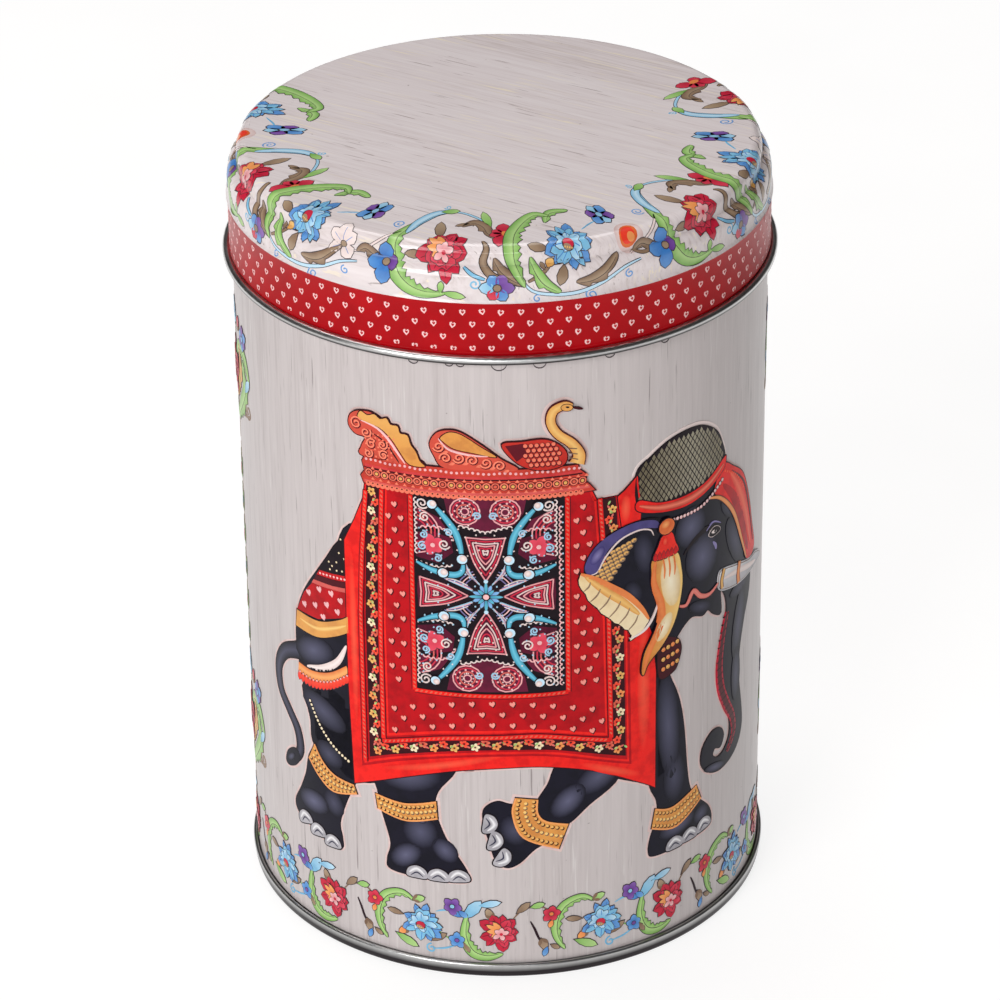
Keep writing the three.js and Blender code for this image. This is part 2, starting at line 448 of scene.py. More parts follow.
def make_body():
    shell = spun("body_tin_shell", sheet_profile(body_path(), SHEET / 2, SHEET / 2 - INK_FILM))
    settle(shell, "caddy_body", "bare_tin", TIN, "body_wall")
    low, high = END_LOW.z + 2.9, WALL_HIGH.z - NECK_BASE + 0.6
    face = [(WALL_RADIUS, low), (WALL_RADIUS, high)]
    skin = spun("body_wood_print", face + side_step(face, INK_FILM + 0.02)[::-1])
    settle(skin, "caddy_body", "wood_print", WALL_WOOD)


def make_bottom_end():
    """The pressed bottom: recessed panel with two stepped rings, countersunk wall and the folded seam."""
    out = END_HIGH.x
    panel = END_HIGH.z - SHEET / 2
    chuck = 48.83
    rings = [(14.0, panel), (14.6, panel - 0.35), (15.4, panel - 0.35), (16.0, panel)]
    step = [(40.2, panel), (40.9, panel - 0.6), (47.3, panel - 0.6)]
    corner = arc((47.7, panel - 1.1), 0.9, 80, 20, 6)
    down = [(chuck, END_LOW.z + 1.0)]
    stand = arc((chuck + 0.66, END_LOW.z + 0.79), 0.66, 180, 360, 12)
    seam = [(out - SHEET / 2, END_LOW.z + 2.4)]
    fold = arc((out - SHEET / 2 - 0.3, END_LOW.z + 2.57), 0.3, 0, 180, 8)
    path = [(0.0, panel)] + rings + step + corner + down + stand + seam + fold + [
        (out - 0.72, END_LOW.z + 1.1)
    ]
    profile = sheet_profile(path, SHEET / 2, SHEET / 2)
    closed = [(max(radius, 0.0), height) for radius, height in profile]
    end = spun("bottom_end_steel", closed)
    settle(end, "caddy_body", "bare_tin", END_STEEL, "bottom_end")


def make_plug_lid():
    panel = 138.825
    hole = 1.5
    wall = 46.775
    flange = PLUG_HIGH.z - SHEET / 2
    dish = [(hole, panel), (8.5, panel), (9.3, panel + 0.3), (36.0, panel + 0.3), (37.0, panel)]
    corner = arc((wall - 1.4, panel + 1.4), 1.4, -90, 0, 8)
    shoulder = arc((wall + 0.7, flange - 0.7), 0.7, 180, 90, 6)
    lip = [(PLUG_HIGH.x - 0.25, flange), (PLUG_HIGH.x - 0.12, flange - 0.1)]
    path = dish + corner + shoulder + lip
    plug = spun("plug_lid_pan", sheet_profile(path, SHEET / 2, SHEET / 2))
    settle(plug, "plug_lid", "bare_tin", TIN, "inner_lid")
    make_knob()
    make_rivet()


def make_knob():
    """A small turned knob: a broad foot, a thin waist and a rounded grip with a fine groove."""
    bottom, top = KNOB_LOW.z, KNOB_HIGH.z
    grip = KNOB_HIGH.x
    foot = 4.5
    waist = 3.0
    outline = [(1.25, bottom), (foot - 0.3, bottom), (foot, bottom + 0.3), (foot, bottom + 0.8)]
    outline += arc((waist + 1.4, bottom + 2.4), 1.4, 250, 150, 8)
    outline += [(waist + 0.6, bottom + 3.8), (grip - 1.0, top - 2.9)]
    outline += arc((grip - 0.9, top - 2.0), 0.9, -60, 40, 8)
    outline += [(grip - 1.2, top - 0.9), (grip - 1.5, top - 0.75), (grip - 2.0, top - 0.55)]
    outline += [(grip - 3.6, top - 0.15), (1.6, top), (1.25, top - 0.3)]
    knob = spun("knob_turned", outline, 96)
    settle(knob, "plug_lid", "turned_steel", KNOB_STEEL, "inner_lid_knob")


def make_rivet():
    """The rivet that holds the knob: a low round head under the pan and a shank up into the knob."""
    bottom, top = RIVET_LOW.z, RIVET_HIGH.z
    head = RIVET_HIGH.x
    dome = [(0.0, bottom), (head * 0.55, bottom + 0.05), (head * 0.85, bottom + 0.18), (head, bottom + 0.45)]
    shank = [(head, bottom + 0.6), (1.2, bottom + 0.6), (1.2, top - 0.2), (1.0, top), (0.0, top)]
    rivet = spun("knob_rivet_steel", dome + shank, 48)
    settle(rivet, "plug_lid", "turned_steel", KNOB_STEEL, "knob_rivet")


# -------- painted films
# Each paint's slot, then its deep, plain and light colours.
PAINTS = {
    "halo": ("cream_print", (198, 166, 162), (222, 196, 192), (244, 230, 226)),
    "pearl": ("cream_print", (120, 116, 124), (172, 168, 174), (238, 236, 238)),
    "ink": ("navy_print", (12, 5, 14), (24, 10, 20), (70, 40, 50)),
    "line": ("brown_print", (50, 40, 44), (66, 56, 60), (110, 100, 100)),
    "skin": ("navy_print", (10, 9, 20), (20, 18, 34), (98, 98, 124)),
    "red": ("red_print", (140, 2, 14), (188, 6, 20), (232, 48, 46)),
    "scarlet": ("orange_print", (196, 12, 16), (240, 32, 26), (252, 108, 76)),
    "coral": ("orange_print", (158, 26, 22), (196, 48, 38), (246, 132, 104)),
    "rose": ("pink_print", (176, 30, 38), (208, 64, 64), (242, 150, 136)),
    "wine": ("crimson_print", (44, 4, 22), (92, 12, 44), (168, 60, 96)),
    "maroon": ("crimson_print", (26, 2, 8), (58, 4, 16), (122, 20, 38)),
    "crimson": ("crimson_print", (150, 8, 34), (196, 22, 54), (232, 84, 104)),
    "gold": ("gold_print", (178, 88, 34), (216, 138, 60), (248, 210, 130)),
    "orange": ("orange_print", (196, 66, 34), (228, 112, 54), (248, 178, 108)),
    "cream": ("cream_print", (210, 174, 116), (232, 204, 152), (252, 240, 212)),
    "net": ("brown_print", (70, 58, 44), (128, 118, 94), (196, 190, 170)),
    "salmon": ("pink_print", (214, 84, 76), (238, 122, 112), (250, 180, 166)),
    "pink": ("pink_print", (196, 92, 108), (230, 146, 150), (250, 214, 212)),
    "sky": ("sky_print", (60, 140, 186), (104, 180, 218), (206, 232, 246)),
    "teal": ("sky_print", (10, 78, 104), (24, 122, 156), (110, 196, 220)),
    "blue": ("blue_print", (28, 76, 156), (52, 120, 198), (140, 190, 234)),
    "violet": ("purple_print", (60, 24, 96), (98, 46, 140), (160, 120, 196)),
    "purple": ("purple_print", (40, 34, 86), (66, 58, 118), (150, 140, 190)),
    "green": ("green_print", (84, 140, 56), (124, 178, 84), (190, 222, 148)),
    "brown": ("brown_print", (84, 56, 44), (128, 100, 80), (186, 162, 134)),
}
PAINT_FINISHES = {}
for ink, (slot, *colours) in PAINTS.items():
    PAINT_FINISHES[ink] = paint(f"{ink}_print_ink", *[tint(*colour) for colour in colours])

LEVEL_RISE = 0.02
FIRST_RISE = 0.03
THIN_RISES = (0.012, 0.008)
FILM_SINK = -0.05
WALL_CUT = 2.0
LID_CUT = 2.5
SHEET_FULL = 400


class Print:
    """Thin films of paint on one curved sheet, drawn flat, cut to bend, thickened and wrapped."""

    def __init__(self, name, body, wrap, along_cut, up_cuts=(), rises=(FIRST_RISE, LEVEL_RISE)):
        self.name = name
        self.first_rise, self.level_rise = rises
        self.body = body
        self.wrap = wrap
        self.along_cut = along_cut
        self.up_cuts = up_cuts
        self.sheets = {}

    def sheet(self, paint_name):
        """The flat sheet being filled. A full one is put by, because a small bmesh is quick to work on."""
        stack = self.sheets.setdefault(paint_name, [])
        if not stack or len(stack[-1].verts) > SHEET_FULL:
            bm = bmesh.new()
            bm.verts.layers.float.new("shade")
            bm.verts.layers.float.new("lift")
            stack.append(bm)
        return stack[-1]

    def film(self, paint_name, points, faces, level, shades):
        """Lays one film: its points, its faces as lists of point numbers, and a shade for each point."""
        bm = self.sheet(paint_name)
        shade = bm.verts.layers.float["shade"]
        lift = bm.verts.layers.float["lift"]
        corners = [bm.verts.new((x, y, 0)) for x, y in points]
        for corner, value in zip(corners, shades):
            corner[shade] = value
            corner[lift] = self.first_rise + self.level_rise * level
        made = [bm.faces.new([corners[i] for i in face]) for face in faces]
        made = bmesh.ops.triangulate(bm, faces=made)["faces"]
        lines = [((x, 0, 0), (1, 0, 0)) for x in self.cuts_between(points)]
        low, high = min(y for x, y in points), max(y for x, y in points)
        lines += [((0, y, 0), (0, 1, 0)) for y in self.up_cuts if low < y < high]
        geom = made + list({e for f in made for e in f.edges}) + corners
        for place, way in lines:
            geom = bmesh.ops.bisect_plane(bm, geom=geom, dist=1e-5, plane_co=place, plane_no=way)["geom"]

    def cuts_between(self, points):
        across = [point[0] for point in points]
        first = math.floor(min(across) / self.along_cut) + 1
        last = math.ceil(max(across) / self.along_cut)
        return [i * self.along_cut for i in range(first, last)]

    def thickened(self, bm):
        """Gives the flat films their thickness and wraps them onto the sheet."""
        lift = bm.verts.layers.float["lift"]
        flat = list(bm.verts)
        bmesh.ops.extrude_face_region(bm, geom=bm.faces[:], use_keep_orig=True)
        for corner in flat:
            corner[lift] = FILM_SINK
        for corner in bm.verts:
            corner.co = self.wrap(corner.co.x, corner.co.y, corner[lift])
        bmesh.ops.recalc_face_normals(bm, faces=bm.faces)
        part = bpy.data.meshes.new("film_part")
        bm.to_mesh(part)
        bm.free()
        return part

    def finish(self):
        for paint_name, stack in self.sheets.items():
            whole = bmesh.new()
            for bm in stack:
                part = self.thickened(bm)
                whole.from_mesh(part)
                bpy.data.meshes.remove(part)
            piece = make_piece(whole, f"{self.name}_{paint_name}")
            piece.data.materials.append(PAINT_FINISHES[paint_name])
            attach(piece, self.body)


def turning(points):
    """Twice the area that an outline holds: positive when it runs anticlockwise."""
    return sum(a[0] * b[1] - b[0] * a[1] for a, b in zip(points, points[1:] + points[:1]))


def grown(points, distance):
    """An outline pushed outward all round."""
    return side_step(points, -math.copysign(distance, turning(points)), closed=True)


def curved(points, closed=True, steps=5):
    """A smooth line through the points."""
    count = len(points)
    spans = count if closed else count - 1
    line = []
    for i in range(spans):
        if closed:
            four = [points[(i + k) % count] for k in (-1, 0, 1, 2)]
        else:
            four = [points[min(max(i + k, 0), count - 1)] for k in (-1, 0, 1, 2)]
        before, start, end, after = [Vector(p) for p in four]
        for step in range(steps):
            t = step / steps
            bend = (end - before) * t + (2 * before - 5 * start + 4 * end - after) * t * t
            bend += (3 * start - before - 3 * end + after) * t * t * t
            line.append(tuple(start + bend * 0.5))
    if not closed:
        line.append(tuple(points[-1]))
    return line


def through(points, steps=5):
    """A smooth open line through the points."""
    return curved(points, False, steps)


def placed(shape, x, y, turn=0.0, wide=1.0, tall=1.0):
    """A shape stretched, turned and moved to its place."""
    c, s = way(turn, 1.0)
    return [(x + u * wide * c - v * tall * s, y + u * wide * s + v * tall * c) for u, v in shape]


def oval(x, y, width, height=None, turn=0.0, steps=14):
    height = height or width
    spread = [TURN * i / steps for i in range(steps)]
    return placed([(math.cos(a), math.sin(a)) for a in spread], x, y, turn, width / 2, height / 2)


def way(angle, length):
    return (length * math.cos(math.radians(angle)), length * math.sin(math.radians(angle)))


LEAF_LINE = 0.16


class Drawing:
    """A place on a print to draw in: it moves, stretches or turns what is drawn onto the sheet."""

    def __init__(self, sheet_print, place, level=0):
        self.print = sheet_print
        self.place = place
        self.level = level

    def film(self, paint_name, points, faces, level, shades):
        self.print.film(paint_name, [self.place(x, y) for x, y in points], faces, level + self.level, shades)

    def patch(self, paint_name, outline, level, shade=0.0):
        """A filled outline. Its shade is one number, or a function of the place."""
        shades = [shade(x, y) if callable(shade) else shade for x, y in outline]
        self.film(paint_name, outline, [list(range(len(outline)))], level, shades)

    def inked(self, paint_name, outline, level, line=0.22, shade=0.0, line_paint="ink"):
        """A filled outline with a dark line round it."""
        self.patch(line_paint, grown(outline, line), level)
        self.patch(paint_name, outline, level + 1, shade)

    def outlined(self, paint_name, outline, level, line=0.22, shade=0.0, line_paint="ink", rim=0.6):
        """An inked outline that stands on a pale rim of its own."""
        self.patch("halo", grown(outline, rim), 0)
        self.inked(paint_name, outline, level, line, shade, line_paint)

    def glow(self, paint_name, x, y, width, height, turn, level, strength=1.0, steps=16):
        """A soft highlight: full shade in the middle, none at its edge."""
        rim = oval(x, y, width, height, turn, steps)
        inner = oval(x, y, width * 0.55, height * 0.55, turn, steps)
        points = rim + inner + [(x, y)]
        last = 2 * steps
        ahead = [(i + 1) % steps for i in range(steps)]
        faces = [[i, ahead[i], steps + ahead[i], steps + i] for i in range(steps)]
        faces += [[steps + i, steps + ahead[i], last] for i in range(steps)]
        shades = [0.0] * steps + [strength * 0.5] * steps + [strength]
        self.film(paint_name, points, faces, level, shades)

    def ribbon(self, paint_name, points, width, level, shade=0.0, tip=None, smooth=True, middle=None):
        """A brush line through the points. The tip is its width at both ends, or a (start, end) pair."""
        line = through(points) if smooth else points
        count = len(line) - 1
        ends = tip if isinstance(tip, tuple) else (tip, tip)
        if tip is None:
            ends = (width, width)
        halves = []
        for i in range(count + 1):
            t = i / count
            swell = math.sin(math.pi * t) ** 0.8 if 0 < t < 1 else 0.0
            base = ends[0] * (1 - t) + ends[1] * t
            halves.append((base + (width - base) * swell) / 2)
        left = side_step(line, 1.0)
        points_left, points_right = [], []
        for here, side, half in zip(line, left, halves):
            reach = (side[0] - here[0], side[1] - here[1])
            points_left.append((here[0] + reach[0] * half, here[1] + reach[1] * half))
            points_right.append((here[0] - reach[0] * half, here[1] - reach[1] * half))
        if middle is None:
            self.strip(paint_name, [points_left, points_right], level, (shade, shade))
        else:
            self.strip(paint_name, [points_left, line, points_right], level, (shade, middle, shade))

    def strip(self, paint_name, rows, level, shades):
        """A film between rows of points, each row with its shade."""
        size = len(rows[0])
        faces = []
        for row in range(len(rows) - 1):
            near, far = row * size, (row + 1) * size
            faces += [[near + i, far + i, far + i + 1, near + i + 1] for i in range(size - 1)]
        points = [point for row in rows for point in row]
        self.film(paint_name, points, faces, level, [shade for shade in shades for _ in range(size)])

    def stroke(self, *shape, **more):
        """A ribbon that keeps the corners of its points."""
        self.ribbon(*shape, smooth=False, **more)

    def inked_ribbon(self, paint_name, points, width, level, line=0.18, shade=0.0, tip=None, middle=None):
        if isinstance(tip, tuple):
            dark_tip = tuple(end + 2 * line for end in tip)
        else:
            dark_tip = tip + 2 * line if tip is not None else None
        self.ribbon("ink", points, width + 2 * line, level, tip=dark_tip)
        self.ribbon(paint_name, points, width, level + 1, shade, tip, middle=middle)

    def dot(self, paint_name, x, y, size, level, shade=0.0, steps=8):
        self.patch(paint_name, oval(x, y, size, steps=steps), level, shade)

    def bead(self, paint_name, x, y, size, level):
        """A dot with a dark ring and a small light spot."""
        self.dot("ink", x, y, size * 1.35, level)
        self.dot(paint_name, x, y, size, level + 1, 0.3)
        self.dot(paint_name, x - size * 0.14, y + size * 0.16, size * 0.36, level + 2, 0.9, 6)

    def petal(self, paint_name, x, y, angle, length, width, level, shade=0.0, tip_shade=None, line=0.0):
        """A petal or a simple leaf from its foot at x, y."""
        shape = [(0, 0), (0.28, 0.36), (0.58, 0.5), (0.84, 0.34), (1, 0)]
        shape += [(u, -v) for u, v in shape[3:0:-1]]
        outline = placed(shape, x, y, angle, length, width)
        if line:
            self.patch("line", grown(outline, line), level)
            level += 1
        far = shade if tip_shade is None else tip_shade
        self.film(
            paint_name, outline, [list(range(len(outline)))], level,
            [shade + (far - shade) * u for u, v in shape]
        )

    def leaf(self, paint_name, points, width, level, teeth=7, light=0.75):
        """A long curved leaf, smooth on its left edge, toothed on its right, with a light middle."""
        centre = through(points, steps=6)
        count = len(centre) - 1
        side = side_step(centre, 1.0)
        for name, up, more in (("line", 0, LEAF_LINE), (paint_name, 1, 0.0)):
            left, right = [], []
            for i, (here, beside) in enumerate(zip(centre, side)):
                t = i / count
                half = width / 2 * (math.sin(math.pi * t) ** 0.7 if 0 < t < 1 else 0.04)
                tooth = 0.6 + 0.8 * ((t * teeth) % 1.0)
                reach = (beside[0] - here[0], beside[1] - here[1])
                left.append((here[0] + reach[0] * (half + more), here[1] + reach[1] * (half + more)))
                right.append(
                    (here[0] - reach[0] * (half * tooth + more), here[1] - reach[1] * (half * tooth + more))
                )
            self.strip(name, [left, centre, right], level + up, (0.1, light, 0.2))
        vein = [
            (h[0] - (b[0] - h[0]) * width * 0.1, h[1] - (b[1] - h[1]) * width * 0.1) for h,
            b in zip(centre, side)
        ]
        self.stroke("line", vein[2:-2], 0.12, level + 2, tip=0.05)

    def moved(self, x, y, wide=1.0, tall=1.0, turn=0.0):
        """A smaller drawing placed in this one, in units of its own."""
        c, s = way(turn, 1.0)
        place = self.place
        return Drawing(
            self.print, lambda u,
            v: place(x + u * wide * c - v * tall * s, y + u * wide * s + v * tall * c), self.level
        )

    def spiral(self, paint_name, x, y, radius, level, width=0.3, turns=1.4, start=0.0, hand=1, shade=0.3):
        steps = int(turns * 12)
        points = []
        for i in range(steps + 1):
            t = i / steps
            points.append(
                tuple(Vector((x, y)) + Vector(way(start + hand * 360 * turns * t, radius * (1 - 0.82 * t))))
            )
        self.stroke(paint_name, points, width, level, shade)

    def heart(self, paint_name, x, y, size, level, turn=0.0, shade=0.5):
        shape = [
            (0, -0.55), (-0.42, -0.08), (-0.46, 0.3), (-0.2, 0.46), (0, 0.22), (0.2, 0.46), (0.46, 0.3),
            (0.42, -0.08)
        ]
        self.patch(paint_name, placed(shape, x, y, turn, size, size), level, shade)

    def floret(self, x, y, size, petals, middle, level, count=5, turn=90, line=0.13, tall=1.0):
        """A small open flower seen from the front. Its petals take their paints in turn."""
        petals = petals if isinstance(petals, tuple) else (petals,)
        f = self.moved(x, y, 1.0, tall)
        for i in range(count):
            longer = size * (1.0 + 0.12 * math.sin(i * 2.3 + x))
            f.petal(
                petals[i % len(petals)], 0, 0, turn + 360 * i / count, longer, size * 0.8, level, 0.0, 0.6,
                line
            )
        f.dot("line", 0, 0, size * 0.62, level + 2)
        f.dot(middle, 0, 0, size * 0.46, level + 3, 0.3)

    def ragged_petals(self, rings, draw, level, turns, vein):
        """Rings of uneven petals, each with a vein, from the outer ring in.

        A ring is its paint, count, reach, width and tip shade. The turns are how far each ring is turned
        from the last and how far a petal may stray. The vein is its paint, start, bend, end, width, shade."""
        ring_turn, stray = turns
        vein_paint, vein_start, bend, vein_end, vein_width, vein_shade = vein
        for ring, (paint_name, count, reach, wide, shade) in enumerate(rings):
            for i in range(count):
                angle = 360 / count * i + ring_turn * ring + draw.uniform(-stray, stray)
                long = reach * draw.uniform(0.8, 1.1)
                off = (draw.uniform(-0.1, 0.1), draw.uniform(-0.1, 0.1))
                width = wide * draw.uniform(0.75, 1.15)
                self.petal(paint_name, *off, angle, long, width, level + 2 * ring, 0.0, shade, 0.026)
                line = [way(angle, long * vein_start), way(angle + bend, long * vein_end)]
                self.stroke(vein_paint, line, vein_width, level + 2 * ring + 2, vein_shade)

    def peony(self, x, y, size, level, tall=1.0):
        """A full red flower: ragged rings of petals, orange folds on the left and a pale middle."""
        f = self.moved(x, y, size, size * tall)
        rings = [
            ("crimson", 9, 1.0, 0.56, 0.2), ("crimson", 8, 0.78, 0.5, 0.55), ("crimson", 6, 0.56, 0.4, 0.9)
        ]
        f.ragged_petals(
            rings, random.Random(int(size * 10)), level, (14, 15), ("maroon", 0.5, 3, 0.86, 0.022, 0.4)
        )
        for angle, long in ((128, 0.72), (152, 0.86), (176, 0.74), (204, 0.58)):
            f.petal("orange", 0.1, 0.05, angle, long, 0.26, level + 7, 0.2, 0.9, 0.022)
        for angle, long in ((20, 0.4), (80, 0.36), (140, 0.34), (215, 0.42), (290, 0.36)):
            f.petal("pink", 0.0, -0.04, angle, long, 0.24, level + 9, 0.0, 0.7, 0.022)
        f.dot("crimson", 0.02, -0.04, 0.16, level + 11, 0.2)

    def aster(self, x, y, size, level, tall=1.0):
        """A full blue flower with pointed, folded petals and a red and olive heart set low on the left."""
        f = self.moved(x, y, size, size * tall)
        rings = [("blue", 9, 1.0, 0.46, 0.5), ("sky", 9, 0.9, 0.42, 0.25), ("sky", 7, 0.62, 0.34, 0.8)]
        f.ragged_petals(
            rings, random.Random(int(size * 10) + 1), level, (19, 14), ("blue", 0.45, -3, 0.88, 0.03, 0.1)
        )
        f.patch("line", oval(-0.06, -0.1, 0.5, 0.42, -20, 12), level + 7)
        f.patch("crimson", oval(-0.04, -0.06, 0.42, 0.34, -20, 12), level + 8, 0.2)
        f.patch("brown", oval(-0.1, -0.18, 0.32, 0.2, -20, 10), level + 9, 0.5)
        for i in range(4):
            f.dot("gold", -0.2 + 0.09 * i, -0.17 - 0.02 * i, 0.06, level + 10, 0.6, 6)

    def bud(self, paint_name, x, y, angle, size, level):
        """A closed bud with two dark sepals."""
        self.petal(paint_name, x, y, angle, size, size * 0.55, level, 0.2, 0.8, 0.14)
        self.petal("brown", x, y, angle + 32, size * 0.62, size * 0.26, level + 2, 0.1)
        self.petal("brown", x, y, angle - 32, size * 0.62, size * 0.26, level + 2, 0.1)


def wrap_round(radius):
    """What wraps a flat print onto an upright round wall."""

    def wrap(along, up, lift):
        angle = along / radius
        return Vector(((radius + lift) * math.sin(angle), -(radius + lift) * math.cos(angle), up))

    return wrap


class LidFace:
    """The outside of the lid rolled out: how far out from its centre a point is, measured over the curve."""

    def __init__(self):
        self.points = without_repeats(lid_face())
        self.ends = [0.0]
        for start, end in zip(self.points, self.points[1:]):
            self.ends.append(self.ends[-1] + math.dist(start, end))

    def at(self, reach):
        reach = min(max(reach, 0.0), self.ends[-1] - 1e-6)
        for i, end in enumerate(self.ends[1:]):
            if reach <= end:
                break
        start, stop = Vector(self.points[i]), Vector(self.points[i + 1])
        run = (stop - start).normalized()
        place = start + run * (reach - self.ends[i])
        return place, Vector((-run.y, run.x))

    def wrap(self, along, reach, lift):
        place, outward = self.at(reach)
        place = place + outward * lift
        angle = along / LID_RING
        return Vector((place.x * math.sin(angle), -place.x * math.cos(angle), place.y))


LID_RING = 49.2
LID_FACE = LidFace()


# -------- the caparisoned elephant
def make_tail(d):
    tail = [
        (-44.0, 61.5), (-48.6, 59.2), (-51.3, 55.0), (-50.9, 50.0), (-48.0, 46.6), (-45.5, 43.6),
        (-44.7, 40.0)
    ]
    tail += [(-45.6, 37.6), (-47.4, 35.9)]
    d.ribbon("halo", tail, 3.4, 0, tip=(4.6, 2.4))
    d.ribbon("ink", tail, 2.6, 1, tip=(4.0, 1.8))
    d.ribbon("skin", tail, 2.1, 2, 0.0, (3.4, 1.3), middle=0.45)
    tuft = curved(
        [(-45.3, 38.4), (-46.9, 38.6), (-49.0, 37.0), (-49.9, 34.6), (-48.9, 33.9), (-46.6, 35.0),
        (-45.0, 37.0)]
    )
    d.outlined("skin", tuft, 2, 0.15)
    d.glow("skin", -47.9, 36.2, 3.2, 1.3, 42, 4, 0.7)


SKIN_SHAPES = [
    # rump, belly and chest, mostly under the blanket
    [(-27, 95), (-33, 88), (-37.6, 81.5), (-41.6, 75.5), (-43.9, 70), (-44.6, 64), (-43.6, 58.5),
     (-42.4, 54), (-41.2, 48), (-40, 42), (-30, 38.5), (-12, 45), (8, 47), (29, 38), (33, 45), (32.5, 60),
     (31, 76), (24, 96), (0, 100)],
    # near hind leg
    [(-42.8, 55), (-41.4, 48.5), (-40.4, 43), (-42.2, 39), (-43.1, 35), (-44.8, 31), (-46.9, 27),
     (-45.9, 24.6), (-42, 23.4), (-37, 21.9), (-33.9, 22.1), (-33.8, 24.6), (-34.2, 27.8), (-32.4, 33.2),
     (-30.2, 38), (-27, 46), (-32, 56)],
    # far hind leg
    [(-26.6, 44), (-25.2, 38.4), (-24.2, 33.4), (-22.6, 27.2), (-23.4, 23.4), (-22.6, 21.2), (-15, 20.9),
     (-8, 21.1), (-7.6, 23), (-9.4, 26.4), (-11.8, 30.6), (-13.6, 36.4), (-13, 40.6), (-9.6, 46.4),
     (-18, 48)],
    # raised foreleg, thigh and shin
    [(10.4, 47.5), (7.6, 42.4), (5.6, 38.8), (5.8, 35.6), (8.2, 33.2), (11.4, 33.4), (15.4, 36.8),
     (21.5, 41.6), (20, 48)],
    # raised forefoot
    [(6.6, 37.5), (3.4, 38.2), (0.4, 38.6), (-1.9, 39.2), (-4.2, 37.6), (-4.4, 34.6), (-3.4, 30.4),
     (-2.2, 26.2), (-0.2, 24.6), (2.2, 25.6), (5.2, 28.6), (9.2, 30.8), (11, 34)],
    # standing foreleg
    [(28.6, 62), (29.2, 50), (28.0, 38.6), (29.8, 33.4), (29.8, 29.4), (28.4, 25.6), (28.0, 22.4),
     (29.4, 21.2), (36, 21.1), (43.4, 21.4), (44.6, 23), (43.6, 26.0), (40.4, 29.4), (38.2, 32.6),
     (37.2, 38), (36.2, 48), (34.6, 55), (31.6, 61)],
]
HEAD_SHAPE = [
    (26, 97), (30, 95.5), (38, 95), (45.6, 96.2), (50, 92.6), (53.6, 86.6), (56.8, 79.2), (58.9, 73),
    (58.6, 66.5), (56, 61), (54.2, 55), (54.2, 49), (55.4, 43), (55.9, 38.2), (54.2, 34.8), (50.6, 32.9),
    (46.6, 32.6), (43.2, 34), (41.2, 36.6), (41.6, 40), (44.2, 42.2), (47, 41.8), (48.3, 39.7),
    (47.2, 37.6), (45.4, 38.2), (44.6, 36.9), (46.2, 35.6), (48.8, 36.3), (50.6, 38.8), (50.4, 42.4),
    (48.4, 45.8), (46.4, 50.4), (45.7, 55.2), (46.9, 60.6), (48.7, 66.2), (48.2, 70.2), (46.4, 72.2),
    (46.7, 67.4), (44.4, 68.2), (42.6, 69.9), (41, 69.4), (38.2, 70.4), (36, 69.4), (33.6, 67.2), (31, 66),
    (28, 72), (25, 85)
]


def make_skin(d):
    for outline in SKIN_SHAPES:
        shape = curved(outline)
        d.patch("halo", grown(shape, 0.6), 0)
        d.patch("ink", grown(shape, 0.2), 1)
        d.patch("skin", shape, 2)
    glows = [
        (-39.6, 63.4, 11, 6, 20, 0.8), (-37.6, 51.0, 6, 12, 70, 0.6), (-36.4, 42.0, 7, 5, -20, 0.5),
        (-41.2, 29.4, 8.6, 5.2, 8, 1.0), (-35.6, 31.4, 5, 6, 20, 0.5), (-18.6, 43.0, 13, 7, 10, 0.75),
        (-16.6, 31.0, 7.0, 7.4, 10, 0.7), (-19.6, 25.2, 7.4, 4.8, 40, 0.95),
        (-11.8, 27.6, 4.4, 6.0, 40, 0.8), (11.4, 38.4, 8.4, 5.4, 48, 0.95),
        (17.4, 42.6, 10.0, 6.0, 30, 0.75), (1.2, 32.8, 5.2, 7.0, 20, 0.5), (32.4, 49, 5.4, 24, 4, 0.7),
        (34.0, 37, 5.4, 11, 0, 0.5), (35.0, 25.8, 9.4, 4.4, 8, 0.9), (41.4, 25.4, 4.4, 4.0, 8, 0.6),
        (-16.2, 33.4, 1.6, 1.0, 0, 0.8),
    ]
    for x, y, width, height, turn, strength in glows:
        d.glow("skin", x, y, width, height, turn, 3, strength)
    toes = [
        (-44.0, 24.6, 20), (-40.3, 23.4, 12), (-36.3, 22.6, 8), (-17.4, 21.9, 0), (-13.2, 21.9, 0),
        (-9.3, 22.2, 6), (34.2, 22.2, 0), (38.2, 22.4, 0), (42.2, 22.8, 8), (-3.2, 34.2, 262),
        (-2.2, 30.4, 256), (-0.8, 26.6, 240)
    ]
    for x, y, turn in toes:
        make_toe(d, x, y, turn)


def make_toe(d, x, y, turn):
    toe = d.moved(x, y, 1.0, 1.0, turn)
    shape = curved([(-2.05, -1.1), (-1.7, 0.6), (0, 1.4), (1.7, 0.6), (2.05, -1.1), (0, -1.35)], steps=4)
    toe.patch("ink", grown(shape, 0.25), 4)
    toe.patch("pearl", shape, 5, 0.1)
    toe.ribbon("pearl", [(-1.6, -0.4), (0, 0.75), (1.6, -0.4)], 0.9, 6, 0.2, 0.1, middle=1.0)
    toe.ribbon("skin", [(-1.3, -1.0), (0, -0.1), (1.3, -1.0)], 0.3, 6, 0.3, 0.05)


